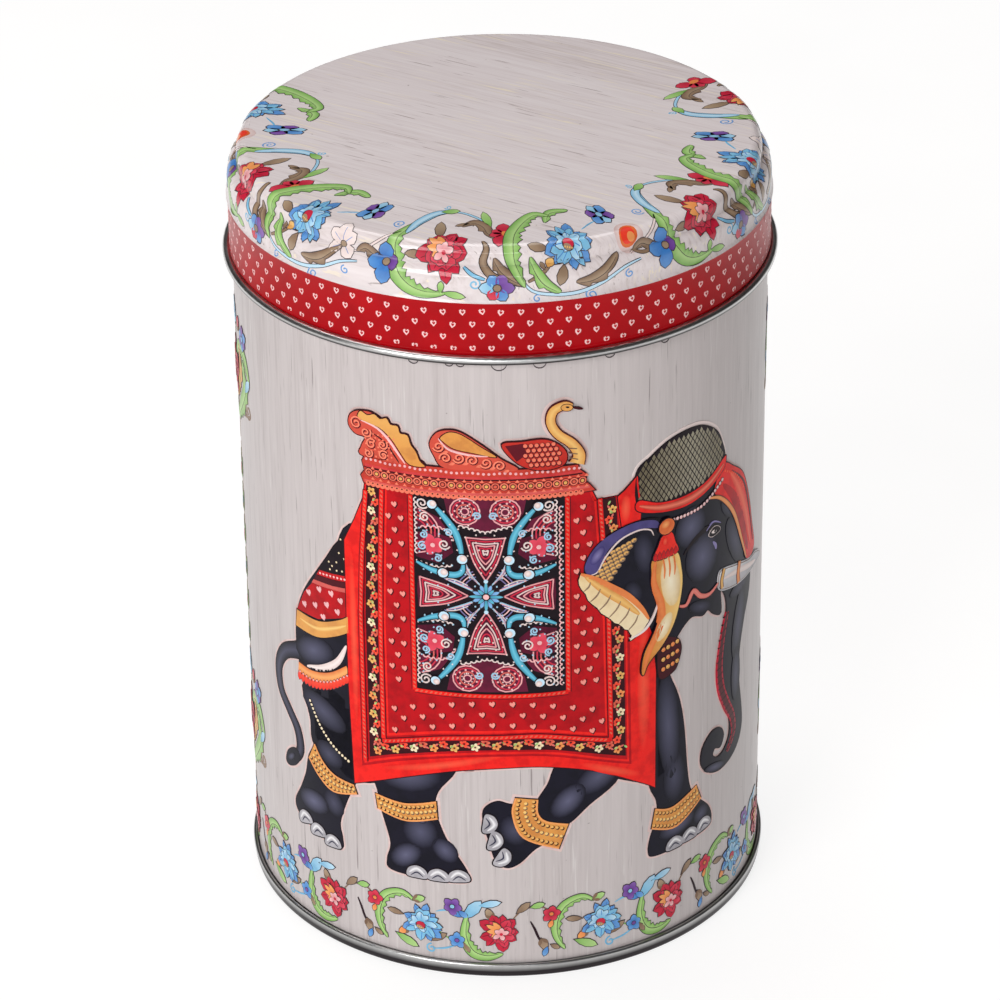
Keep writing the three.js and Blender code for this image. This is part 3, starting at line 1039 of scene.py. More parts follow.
def make_anklet(d, top, bottom):
    """A broad gold band of beads between two curved edges."""
    level = 5
    upper = through(top, steps=6)
    lower = through(bottom, steps=6)
    d.outlined("gold", upper + lower[::-1], level, 0.2, 0.15, rim=0.75)
    rows = 3
    for row in range(rows):
        t = (row + 0.5) / rows
        count = min(len(upper), len(lower))
        line = [
            tuple(Vector(upper[i * len(upper) // count]).lerp(lower[i * len(lower) // count], t))
            for i in range(count)
        ]
        beads = max(int(length_of(line) / 0.95), 3)
        for i in range(beads):
            x, y = point_along(line, (i + 0.5 + 0.5 * (row % 2)) / (beads + 0.5))
            d.dot("maroon" if row != 1 else "brown", x + 0.12, y - 0.14, 0.82, level + 2)
            d.dot("gold", x, y, 0.62, level + 3, 0.85 if row == 1 else 0.5, 7)
    for line in (upper, lower):
        d.stroke("orange", line, 0.34, level + 4, 0.7)


def length_of(line):
    return sum(math.dist(a, b) for a, b in zip(line, line[1:]))


def point_along(line, share):
    """The point that lies a share of the way along a line."""
    left = length_of(line) * min(max(share, 0.0), 1.0)
    for a, b in zip(line, line[1:]):
        step = math.dist(a, b)
        if left <= step:
            return tuple(Vector(a).lerp(b, left / step if step else 0))
        left -= step
    return tuple(line[-1])


def spread_along(line, count):
    """Points spaced evenly along a line."""
    return [point_along(line, (i + 0.5) / count) for i in range(count)]


def turned_along(line, count, step):
    """Points at equal steps along a line, each with the way the line runs there, in degrees."""
    places = []
    for i in range(count):
        x, y = point_along(line, (i + 0.5) * step)
        ahead = point_along(line, (i + 0.7) * step)
        places.append((x, y, math.degrees(math.atan2(ahead[1] - y, ahead[0] - x))))
    return places


def make_anklets(d):
    make_anklet(
        d, [(-40.3, 42.6), (-38.2, 39.7), (-35, 37.8), (-30.4, 37.4)],
        [(-42, 39), (-39.2, 36), (-35.4, 34.2), (-29.8, 35.8)]
    )
    make_anklet(
        d, [(-25.6, 37.2), (-19.6, 36.6), (-13.3, 38.2)], [(-25.2, 34.2), (-19.4, 33.0), (-13.1, 34.6)]
    )
    make_anklet(
        d, [(5.6, 39.4), (5.6, 36.4), (7.2, 34.4), (11.4, 33.2)],
        [(1.6, 40.0), (1.0, 36.4), (3.0, 31.2), (9.6, 28.2)]
    )
    make_anklet(d, [(29.4, 31.6), (33.6, 30.4), (39.9, 32.4)], [(28.6, 27.6), (34.6, 25.8), (41.2, 29.2)])
    chain = through([(-41.3, 52.2), (-38.5, 47.5), (-35, 44.2), (-31.2, 42.2)], steps=7)
    d.stroke("ink", chain, 0.7, 4)
    for x, y in spread_along(chain, 18):
        d.dot("cream", x, y, 0.6, 5, 0.6, 7)


def make_rump_cloth(d):
    """The cloths over the rump: a black spotted one, bands, a red one with hearts, gold and fringe."""
    black = [(-30.6, 91.5), (-33.4, 88), (-37, 82.2), (-37.4, 81.6), (-30.6, 82.6)]
    d.inked("ink", black, 3, 0.15)
    for x, y in scattered(14, -36, -31, 82.5, 90, 0.9, 3):
        if y < 88 - (-33.4 - x) * 1.6:
            d.dot("cream", x, y, 0.42, 5, 0.4, 6)
    bands = [(81.6, 80.4, "red"), (80.3, 79.1, "maroon"), (79.0, 78.1, "rose")]
    for top, bottom, colour in bands:
        left_top, left_bottom = -37.2 - (81.6 - top) * 0.62, -37.2 - (81.6 - bottom) * 0.62
        band = [
            (left_top, top), (left_bottom, bottom), (-34, bottom + 0.35), (-30.6, bottom + 0.9),
            (-30.6, top + 0.9), (-34, top + 0.35)
        ]
        d.patch("halo", grown(band, 0.6), 0)
        d.patch(colour, band, 5, 0.25)
    for i in range(8):
        d.dot("pink", -37.0 + i * 0.85, 81.0 + i * 0.1, 0.5, 6, 0.6, 6)
    hearts = [(-39.3, 78.0), (-41.6, 75.2), (-43.9, 70.6), (-38, 70.8), (-30.6, 73.8), (-30.6, 79)]
    d.patch("halo", grown(hearts, 0.6), 0)
    d.patch("red", hearts, 5)
    for x, y in [
        (-40.3, 75.6), (-37.4, 77.4), (-34.4, 77.6), (-32.2, 76.8), (-41.6, 72.6), (-38.6, 73.6),
        (-35.6, 74.8), (-33, 74.2), (-36.6, 71.8)
    ]:
        d.heart("pink", x, y, 1.35, 6, 20)
    gold = through([(-44, 70.4), (-38, 70.4), (-33, 72.4), (-30.6, 74)])
    gold += through([(-30.6, 70.6), (-34, 68.6), (-38.6, 66.8), (-44.4, 66.8)])
    d.outlined("gold", gold, 6, 0.2, 0.25)
    d.ribbon("gold", [(-43, 68.9), (-38.4, 68.7), (-34, 70.4), (-31, 72)], 1.0, 8, 0.3, 0.2, middle=0.9)
    crescent = [(-31.2, 67.6), (-33.4, 63.4), (-37.2, 60.6), (-41.6, 59.2)]
    d.ribbon("halo", crescent, 1.5, 4, 0.3, (0.3, 0.3), middle=1.0)
    fringe = through([(-44.2, 58.0), (-40, 57.8), (-35, 59.4), (-30.8, 62.4)])
    d.stroke("ink", fringe, 3.2, 4)
    d.stroke("orange", fringe, 2.0, 5, 0.2, middle=0.9)
    for x, y in spread_along(fringe, 15):
        d.petal("scarlet", x, y - 0.6, 262, 2.2, 1.1, 6, 0.6, 0.1, 0.08)
        d.dot("pink", x, y - 0.9, 0.42, 8, 0.5, 6)


def scattered(count, left, right, low, high, apart, seed):
    """Places spread over a box, none nearer to each other than apart."""
    draw = random.Random(seed)
    places = []
    for _ in range(count * 12):
        x, y = draw.uniform(left, right), draw.uniform(low, high)
        if all(math.dist((x, y), other) > apart for other in places):
            places.append((x, y))
        if len(places) == count:
            break
    return places


BLANKET = [(-25.8, 104.5), (-26.2, 100.6), (-28.4, 95.2), (-30.8, 90.2), (-30.9, 60), (-30.2, 38.1)]
BLANKET_FOOT = [
    (-30.2, 38.1), (-20, 42.4), (-10, 45.5), (0, 46.7), (8, 46.4), (17, 43.9), (26, 38.9), (29.3, 36.6)
]
BLANKET_RIGHT = [(29.3, 62), (27.4, 80), (22.8, 94), (21.6, 101.2), (17.0, 101.3), (15.4, 105)]
CARPET_LEFT, CARPET_RIGHT, CARPET_LOW, CARPET_HIGH = -16.3, 10.9, 62.8, 103.8


BLANKET_BAYS = [
    ("red", -28.3, 24.0, [(-28.3, 42.6), (-20, 46), (-10, 48.4), (0, 49.2), (10, 48.3), (24, 43.6)]),
    ("scarlet", -27.8, 23.5, [(-27.8, 43.4), (-20, 46.6), (-10, 48.9), (0, 49.7), (10, 48.8), (23.5, 44.3)]),
    ("red", -27.1, 23.1, [(-27.1, 44.3), (-20, 47.1), (-10, 49.4), (0, 50.2), (10, 49.3), (23.1, 44.9)]),
    ("maroon", -26.5, 22.8, [(-26.5, 45.2), (-20, 47.6), (-10, 49.9), (0, 50.6), (10, 49.8), (22.8, 45.8)]),
    ("scarlet", -23.7, 20.0, [(-23.7, 49.2), (-12, 52.2), (0, 53.2), (8, 52.9), (20, 49.8)]),
    ("red", -23.1, 19.4, [(-23.1, 50.2), (-12, 52.9), (0, 53.8), (8, 53.5), (19.4, 50.6)]),
    ("scarlet", -22.7, 19.0, [(-22.7, 50.9), (-12, 53.5), (0, 54.3), (8, 54.0), (19.0, 51.3)]),
    ("red", -22.3, 18.6, [(-22.3, 51.6), (-12, 54.1), (0, 54.9), (8, 54.6), (18.6, 52.0)]),
]
BAY_TOP = 104.2
BAY_LEAN = 2.2


def bay(left, right, foot):
    """An upright panel with a curved foot, whose edges lean in towards its top."""
    left_lean = 1.0 + max(0.0, -26.5 - left) * 0.9
    left_edge = [(left + left_lean, BAY_TOP), (left + left_lean * 0.4, 88), (left, 76)]
    right_edge = [(right - BAY_LEAN * 0.25, 76), (right - BAY_LEAN, 101.3)]
    shoulder = [(min(16.4, right - BAY_LEAN - 0.2), 101.4), (15.2, BAY_TOP)]
    return left_edge + through(foot, steps=4) + right_edge + shoulder


def make_blanket(d):
    outline = BLANKET[:-1] + through(BLANKET_FOOT) + BLANKET_RIGHT
    d.outlined("scarlet", outline, 6, 0.2, 0.0, "maroon")
    for x, y, width, height, turn in [
        (-29.3, 70, 1.8, 38, 0), (-12, 46.5, 26, 1.8, 14), (20, 43.4, 14, 2, -24), (26.6, 60, 3, 30, 0)
    ]:
        d.glow("scarlet", x, y, width, height, turn, 8, 0.55)
    for step, (colour, left, right, foot) in enumerate(BLANKET_BAYS):
        d.patch(colour, bay(left, right, foot), 9 + step)
    make_hearts_field(d)
    make_floral_border(d)
    make_ropes(d)


def make_hearts_field(d):
    rows = 19
    for row in range(rows):
        y = 56.0 + row * 2.62
        for column in range(18):
            x = -21.2 + column * 2.45 + (row % 2) * 1.22
            on_right = 12.6 < x < 18.0 - max(0.0, y - 76) * 0.07
            if (-21.6 < x < -18.2 or on_right) and 61.6 < y < 103:
                make_blanket_heart(d, x, y)
    for row in range(3):
        for column in range(11):
            x = -21.0 + column * 3.7 + (row % 2) * 1.85
            y = 60.6 - row * 2.3 - 0.009 * (x + 2) ** 2
            if x < 18.0:
                make_blanket_heart(d, x, y)


def make_blanket_heart(d, x, y):
    d.heart("maroon", x + 0.12, y - 0.12, 1.4, 18, 12, 0.1)
    d.heart("salmon", x, y, 1.15, 19, 12, 0.45)


def make_floral_border(d):
    """Little gold, orange and green sprigs on the dark band that runs down, along and up."""
    foot = through([(-25.1, 47.3), (-18, 49.7), (-10, 51.0), (0, 51.9), (10, 51.2), (21.4, 48.0)], steps=8)
    line = [(-24.1, 103), (-24.9, 80)] + foot + [(21.0, 76), (19.5, 99.8)]
    count = int(length_of(line) / 1.95)
    for i in range(count):
        x, y = point_along(line, (i + 0.5) / count)
        ahead = point_along(line, (i + 0.6) / count)
        turn = math.degrees(math.atan2(ahead[1] - y, ahead[0] - x))
        colour = ("gold", "scarlet", "cream", "coral", "orange", "scarlet")[i % 6]
        side = 1 if i % 2 else -1
        off = way(turn + 90, 0.42 * side)
        for k in range(5):
            d.petal(colour, x + off[0], y + off[1], turn + 72 * k, 0.92, 0.66, 13, 0.1, 0.8)
        d.dot("maroon", x + off[0], y + off[1], 0.42, 14, 0.1, 6)
        foot_at = way(turn, 1.1)
        d.petal(
            "green", x + foot_at[0] - off[0], y + foot_at[1] - off[1], turn + 35 * side, 0.95, 0.42, 13,
            0.1, 0.9
        )
        d.petal(
            "rose", x + foot_at[0] - off[0] * 1.3, y + foot_at[1] - off[1] * 1.3, turn + 150 * side, 0.85,
            0.4, 13, 0.4
        )


ROPE_STRAND = 0.9


def make_ropes(d):
    """Twisted cord edges, drawn as short slanting strokes."""
    runs = [
        [(-22.4, 103), (-23.1, 86), (-23.4, 72), (-23.4, 50.2)], [(17.5, 101.6), (19.2, 76), (19.7, 50.6)],
        [(-25.7, 102), (-26.9, 88), (-27.5, 76), (-27.5, 44)],
        [(CARPET_LEFT - 0.55, 103), (CARPET_LEFT - 0.55, CARPET_LOW - 0.55)],
        [(CARPET_LEFT - 0.55, CARPET_LOW - 0.55), (CARPET_RIGHT + 0.55, CARPET_LOW - 0.55)],
        [(CARPET_RIGHT + 0.55, 103), (CARPET_RIGHT + 0.55, CARPET_LOW - 0.55)],
        through([(-23.4, 49.6), (-12, 52.5), (0, 53.4), (8, 53.1), (19.7, 50.2)]),
    ]
    for run in runs:
        whole = length_of(run)
        d.stroke("maroon", run, 1.2, 18, 0.3)
        d.stroke("scarlet", run, 0.85, 19, 0.0)
        for x, y, turn in turned_along(run, int(whole / ROPE_STRAND), ROPE_STRAND / whole):
            d.patch("coral", oval(x, y, 0.74, 0.36, turn + 38, 6), 20, 0.5)


def make_carpet(d):
    """The patterned black carpet: the same quarter drawn four times about its middle."""
    middle_x, middle_y = (CARPET_LEFT + CARPET_RIGHT) / 2 - 0.6, 83.4
    frame_outline = [
        (CARPET_LEFT, CARPET_LOW), (CARPET_RIGHT, CARPET_LOW), (CARPET_RIGHT, CARPET_HIGH),
        (CARPET_LEFT, CARPET_HIGH)
    ]
    d.inked("ink", frame_outline, 18, 0.3, 0.0, "maroon")
    for mirror_x in (1, -1):
        for mirror_y in (1, -1):
            make_carpet_quarter(d.moved(middle_x, middle_y, mirror_x, mirror_y))
    make_star(d.moved(middle_x, middle_y))
    edge = CARPET_RIGHT - 0.5
    make_scallops(d, [(edge, 64), (edge, 83), (edge, 102)], 1.1, 22, "pink")
    for i in range(24):
        d.dot("sky" if i % 2 else "halo", CARPET_RIGHT - 0.35, 64.4 + i * 1.6, 0.36, 23, 0.6, 5)


def ring(x, y, radius, start=0, end=360, steps=14):
    """Points round a circle, or round part of it."""
    turns = [start + (end - start) * i / steps for i in range(steps + 1)]
    return [(x + way(turn, radius)[0], y + way(turn, radius)[1]) for turn in turns]


def make_scallops(q, points, pitch, level, colour="halo"):
    """A row of little arches along a line."""
    line = through(points)
    whole = length_of(line)
    for x, y, turn in turned_along(line, int(whole / pitch), pitch / whole):
        q.stroke(colour, ring(x, y, pitch * 0.46, turn, turn + 180, 5), 0.22, level, 0.5)


def make_carpet_fields(q, level):
    """Wine-red fields with pink rings, dots and pale scalloped edges."""
    q.patch(
        "wine", [(0.0, 13.2), (2.8, 14.2), (5.2, 14.8), (6.8, 17.0), (7.4, 20.2), (0.0, 20.2)], level, 0.1
    )
    q.patch(
        "wine", [(6.4, 12.8), (9.4, 13.8), (12.7, 13.0), (12.7, 17.4), (10.6, 16.8), (8.4, 15.8)], level,
        0.1
    )
    q.patch("wine", [(8.6, 6.4), (12.7, 7.2), (12.7, 12.2), (9.6, 12.8), (6.2, 11.8), (5.8, 8.8)], level)
    for radius, colour in ((2.7, "pink"), (2.2, "crimson"), (1.4, "rose"), (0.7, "pink")):
        q.stroke(colour, ring(3.6, 17.4, radius, 20, 380), 0.26, level + 2, 0.3)
    for radius, colour in ((4.6, "pink"), (3.9, "crimson"), (3.2, "rose"), (2.4, "crimson")):
        q.stroke(colour, ring(12.9, 12.6, radius, 100, 262, 9), 0.26, level + 2, 0.3)
    for i in range(9):
        x, y = ring(3.6, 17.4, 1.8, 0, 360, 9)[i]
        q.dot("pink", x, y, 0.42, level + 3, 0.5, 6)
        x, y = ring(3.6, 17.4, 1.05, 20, 380, 9)[i]
        q.dot("halo", x, y, 0.28, level + 3, 0.5, 5)
    make_scallops(q, [(0.0, 12.9), (2.8, 13.7), (5.4, 14.3)], 1.0, level + 3)
    make_scallops(q, [(12.6, 6.6), (8.8, 5.9), (6.0, 6.4)], 0.95, level + 3)
    make_scallops(q, [(12.4, 19.4), (12.3, 14.0), (12.4, 7.4)], 1.05, level + 3)
    make_scallops(q, [(5.8, 11.2), (7.8, 13.4), (11.8, 13.2)], 1.0, level + 3, "pink")


def make_carpet_stripes(q, level):
    """Nested striped leaves above, below and beside the middle, with fine pale lines between them."""
    q.patch("wine", [(0.0, 2.8), (2.2, 6.6), (3.6, 11.9), (0.0, 12.4)], level)
    q.patch("wine", [(2.8, 0.0), (6.6, 1.9), (12.4, 3.3), (12.6, 0.0)], level)
    for i in range(6):
        colour = ("pink", "crimson", "halo")[i % 3]
        base, tip = 12.1 - i * 0.5, 3.2 + i * 1.15
        half = 3.5 - i * 0.6
        q.ribbon(
            colour, [(0.0, tip), (half * 0.6, (tip + base) / 2 - 0.6), (half, base)], 0.26, level + 2, 0.2
        )
        q.stroke(colour, [(half, base), (0.0, base - 0.25)], 0.26, level + 2, 0.2)
        half = 3.1 - i * 0.52
        q.ribbon(
            colour, [(tip, 0.0), ((tip + base) / 2 - 0.6, half * 0.6), (base, half)], 0.26, level + 2, 0.2
        )
        q.stroke(colour, [(base, half), (base - 0.25, 0.0)], 0.26, level + 2, 0.2)
    for radius, colour in ((4.4, "purple"), (5.0, "pink"), (5.6, "purple")):
        q.stroke(colour, ring(0, 0, radius, 24, 66, 6), 0.2, level + 1, 0.6)
    for i in range(4):
        shift = 0.42 * i
        colour = ("sky", "pink", "purple", "halo")[i]
        q.ribbon(
            colour, [(0.9 + shift, 2.2 + shift), (2.5 + shift, 4.2 + shift),
            (3.6 + shift * 0.4, 6.6 + shift)], 0.26, level + 2, 0.5
        )
        q.ribbon(
            colour, [(2.0 + shift, 0.9 + shift), (4.2 + shift, 1.9 + shift),
            (6.8 + shift, 3.0 + shift * 0.4)], 0.2, level + 2, 0.5
        )


def make_carpet_quarter(q):
    level = 20
    make_carpet_fields(q, level)
    make_carpet_stripes(q, level)
    for angle, long in ((70, 2.4), (140, 2.2), (215, 2.0), (290, 2.2), (0, 2.0)):
        q.petal("crimson", 9.5, 10.0, angle, long, 1.7, level + 3, 0.4, 0.9, 0.14)
    q.dot("pink", 9.5, 10.0, 0.9, level + 6, 0.5)
    arms = [
        [(9.5, 18.6), (7.4, 16.2), (5.4, 13.2), (4.5, 10.2), (4.2, 7.4)],
        [(12.6, 6.2), (10.0, 5.0), (7.7, 4.4), (5.4, 4.3), (4.2, 5.2), (4.0, 7.0)],
    ]
    for arm in arms:
        q.inked_ribbon("teal", arm, 1.25, level + 5, 0.2, 0.25, 0.4, middle=0.95)
    scrolls = [
        (7.4, 10.4, 1, 200, 1.1), (11.4, 9.6, -1, 120, 0.9), (10.9, 15.6, -1, 120, 1.0),
        (8.6, 7.4, 1, 60, 0.8), (11.3, 18.4, 1, 200, 1.2), (6.6, 12.9, 1, 20, 0.8),
        (11.2, 12.0, 1, 80, 0.8), (1.4, 16.6, 1, 0, 0.8)
    ]
    for x, y, hand, start, radius in scrolls:
        q.spiral("halo" if radius > 0.9 else "sky", x, y, radius, level + 7, 0.26, 1.5, start, hand, 0.5)
    for x, y, size in [(9.5, 18.4, 1.75), (4.2, 7.6, 1.9), (7.7, 4.5, 1.9)]:
        q.dot("ink", x, y, size * 1.25, level + 8, 0.0, 12)
        q.dot("sky", x, y, size, level + 9, 0.85, 12)
        q.glow("halo", x - 0.2, y + 0.2, size * 0.7, size * 0.7, 0, level + 10, 1.0, 12)
    for x, y in scattered(60, 0.8, 12.2, 1.0, 19.6, 0.95, 11):
        q.dot("sky" if x > y * 0.6 else "halo", x, y, 0.34, level + 7, 0.6, 5)


def make_star(q):
    level = 26
    for i in range(8):
        q.petal("blue", 0, 0, 45 * i + 22.5, 2.6, 0.8, level, 0.3, 0.9, 0.12)
        q.petal("teal", 0, 0, 45 * i, 3.1 if i % 2 == 0 else 2.0, 0.62, level + 2, 0.1, 0.9, 0.1)
    q.dot("ink", 0, 0, 1.6, level + 4, 0.0, 12)
    q.dot("pink", 0, 0, 1.1, level + 5, 0.6, 12)
    for y in (-3.2, 3.2):
        q.dot("sky", 0, y, 0.8, level + 4, 0.8)


def make_howdah(d):
    """The seat: a beaded rail, a scrolled back, a low arm and a plain bird's neck in front."""
    rail = [
        (-25.9, 103.6), (-26.5, 105.0), (-25.7, 106.2), (-26.2, 108.0), (-25.6, 109.2), (-8, 109.4),
        (13.4, 109.3), (13.6, 108.4), (14.9, 107.2), (14.6, 105.9), (15.6, 104.9), (16.6, 103.6)
    ]
    d.outlined("coral", rail, 18, 0.2, 0.1, "maroon")
    d.patch("rose", [(-25.6, 107.6), (13.8, 108.2), (13.8, 107.7), (-25.6, 107.0)], 20)
    d.patch("maroon", [(-25.8, 107.1), (14.2, 107.6), (14.2, 107.3), (-25.8, 106.8)], 20, 0.1)
    d.patch("rose", [(-25.8, 104.4), (15.4, 104.9), (15.6, 104.3), (-25.8, 103.8)], 20, 0.2)
    for i in range(26):
        x = -24.8 + i * 1.56
        d.dot("maroon", x, 106.0, 1.75, 20, 0.3, 12)
        d.dot("coral", x, 106.0, 1.5, 21, 0.9 - 0.3 * (i % 2), 12)
        d.dot("maroon", x, 106.0, 1.0, 22, 0.4, 10)
        d.dot("gold" if i % 3 else "coral", x, 106.0, 0.66, 23, 0.4, 8)
        for y in (104.9, 107.05):
            d.patch("coral", [(x + 0.4, y - 0.25), (x + 0.78, y + 0.3), (x + 1.16, y - 0.25)], 22, 0.9)
            d.dot("maroon", x + 0.78, 106.0 + (y - 106.0) * 0.45, 0.3, 22, 0.2, 6)
    for i in range(42):
        x = -25.3 + i * 0.95
        d.dot("pink", x, 108.6 + 0.1 * math.sin(i), 0.56, 21, 0.4, 7)
        d.dot("coral", x + 0.3, 103.7, 1.1, 21, 0.8, 8)
        d.dot("maroon", x + 0.3, 103.9, 0.34, 22, 0.2, 6)
    back = curved(
        [(-25.8, 109), (-26.2, 111), (-25.4, 112.9), (-27.4, 113.2), (-28.8, 114.6), (-28.4, 116.8),
        (-26.4, 118.0), (-23.2, 117.9), (-19, 114.6), (-16.4, 111.2), (-14.6, 109.4)]
    )
    d.outlined("coral", back, 18, 0.22, 0.25, "maroon")
    crest = [
        (-26.6, 116.4), (-26.2, 118.0), (-24.8, 117.5), (-23.4, 118.0), (-22.3, 117.3), (-21, 117.7),
        (-20.3, 116.6), (-18.9, 116.5), (-18.5, 115.2), (-17.1, 115.0), (-16.5, 113.2), (-15.6, 112),
        (-14.9, 110.2), (-14, 109.2), (-16.8, 109.2), (-18.4, 111.2), (-20.2, 113.8), (-22.6, 115.6)
    ]
    crest = curved(crest, steps=3)
    d.outlined("gold", crest, 20, 0.2, lambda x, y: 0.1 + 0.03 * (y - 109), "maroon")
    d.ribbon(
        "pink", [(-26.2, 116.2), (-23.0, 115.4), (-20.8, 113.6), (-18.6, 110.6), (-17.6, 109.2)], 0.5, 22,
        0.6, 0.1
    )
    d.ribbon("ink", [(-24.0, 114.2), (-21.4, 112.8), (-19.6, 110.4), (-18.8, 109.2)], 0.3, 20, tip=0.1)
    scrolls = [
        (-27.2, 115.4, 1, 1.3), (-25.2, 114.0, -1, 1.1), (-24.2, 111.9, 1, 1.1), (-24.8, 109.9, -1, 0.9),
        (-21.9, 112.2, -1, 1.0), (-21.8, 110.1, 1, 1.0)
    ]
    for x, y, hand, size in scrolls:
        make_scroll(d, x, y, size, 40, hand)
    for x, y in scattered(34, -25.4, -19.6, 109.4, 114.4, 0.75, 5):
        d.dot("coral", x, y, 0.4, 21, 0.9, 6)
    arm = curved(
        [(-10.4, 109.4), (-12.2, 111.6), (-13.0, 114.0), (-11.8, 116.2), (-9.6, 117.0), (-7.2, 116.6),
        (-3.6, 114.2), (-0.4, 111.6), (2.6, 109.3), (-4, 109.2)]
    )
    d.outlined("coral", arm, 18, 0.22, 0.25, "maroon")
    cushion = curved(
        [(-11, 115.4), (-9.4, 116.6), (-7.2, 116.2), (-3.8, 113.9), (-1.2, 112.0), (-5.0, 112.7),
        (-8.6, 113.4), (-10.4, 114.6)]
    )
    d.inked("gold", cushion, 20, 0.18, 0.15, "maroon")
    d.ribbon("pink", [(-11.4, 115.2), (-9.6, 113.2), (-6, 112.3), (-2.6, 112.1)], 0.42, 22, 0.6, 0.1)
    for x, y, hand in [
        (-11.4, 113.6, 1), (-10.2, 111.4, -1), (-7.8, 111.6, 1), (-5.4, 111.2, -1), (-3.0, 110.8, 1),
        (-0.6, 110.2, -1)
    ]:
        make_scroll(d, x, y, 1.1, 200, hand)
        d.petal("coral", x + 0.6, y - 1.3, 20, 1.2, 0.6, 21, 0.6, 1.0)
    make_bird(d)


def make_scroll(d, x, y, size, start, hand):
    """A coral scroll with its dark shadow."""
    d.spiral("maroon", x + 0.1, y - 0.1, size, 21, 0.5, 1.4, start, hand, 0.4)
    d.spiral("coral", x, y, size, 22, 0.3, 1.4, start, hand, 1.0)


def make_bird(d):
    """A plain long-necked bird at the front of the seat."""
    body = curved(
        [(-0.2, 114.4), (3.4, 114.9), (7.4, 115.1), (10.2, 113.6), (11.4, 111.6), (10.6, 109.6),
        (6.6, 109.0), (2.6, 110.6)]
    )
    d.outlined("coral", body, 20, 0.2, 0.0, "maroon")
    d.patch("maroon", [(0.4, 114.2), (3.6, 114.6), (4.2, 112.4), (2.4, 111.0)], 22, 0.5)
    for row in range(5):
        for column in range(7 - row % 2):
            x, y = 4.0 + column * 1.0 + (row % 2) * 0.5, 110.1 + row * 0.98
            if inside(body, x, y, 0.4):
                d.patch("maroon", oval(x, y, 1.05, 1.1, 20, 8), 22, 0.35)
                d.patch("coral", oval(x - 0.05, y + 0.08, 0.76, 0.8, 20, 8), 23, 0.8)
    neck = [
        (13.2, 109.6), (13.6, 111.4), (12.2, 113.8), (9.7, 116.0), (8.5, 118.4), (9.0, 120.6),
        (10.9, 121.5), (12.2, 121.0)
    ]
    d.ribbon("halo", neck, 3.2, 0, tip=(4.4, 2.6))
    d.ribbon("maroon", neck, 2.0, 20, 0.2, (3.3, 1.7))
    d.ribbon("gold", neck, 1.6, 21, 0.2, (2.9, 1.3), middle=0.7)
    d.petal("maroon", 12.4, 120.9, -16, 2.1, 0.5, 21, 0.1)
    d.inked("gold", oval(11.4, 121.05, 2.1, 1.3, -10), 22, 0.12, 0.3, "maroon")
    d.patch("ink", oval(11.5, 121.15, 0.7, 0.36, -12, 8), 24)
    for i in range(3):
        d.stroke("brown", [(11.6 + i * 0.2, 112.9 - i * 1.0), (13.2 + i * 0.1, 112.6 - i * 1.1)], 0.2, 23)


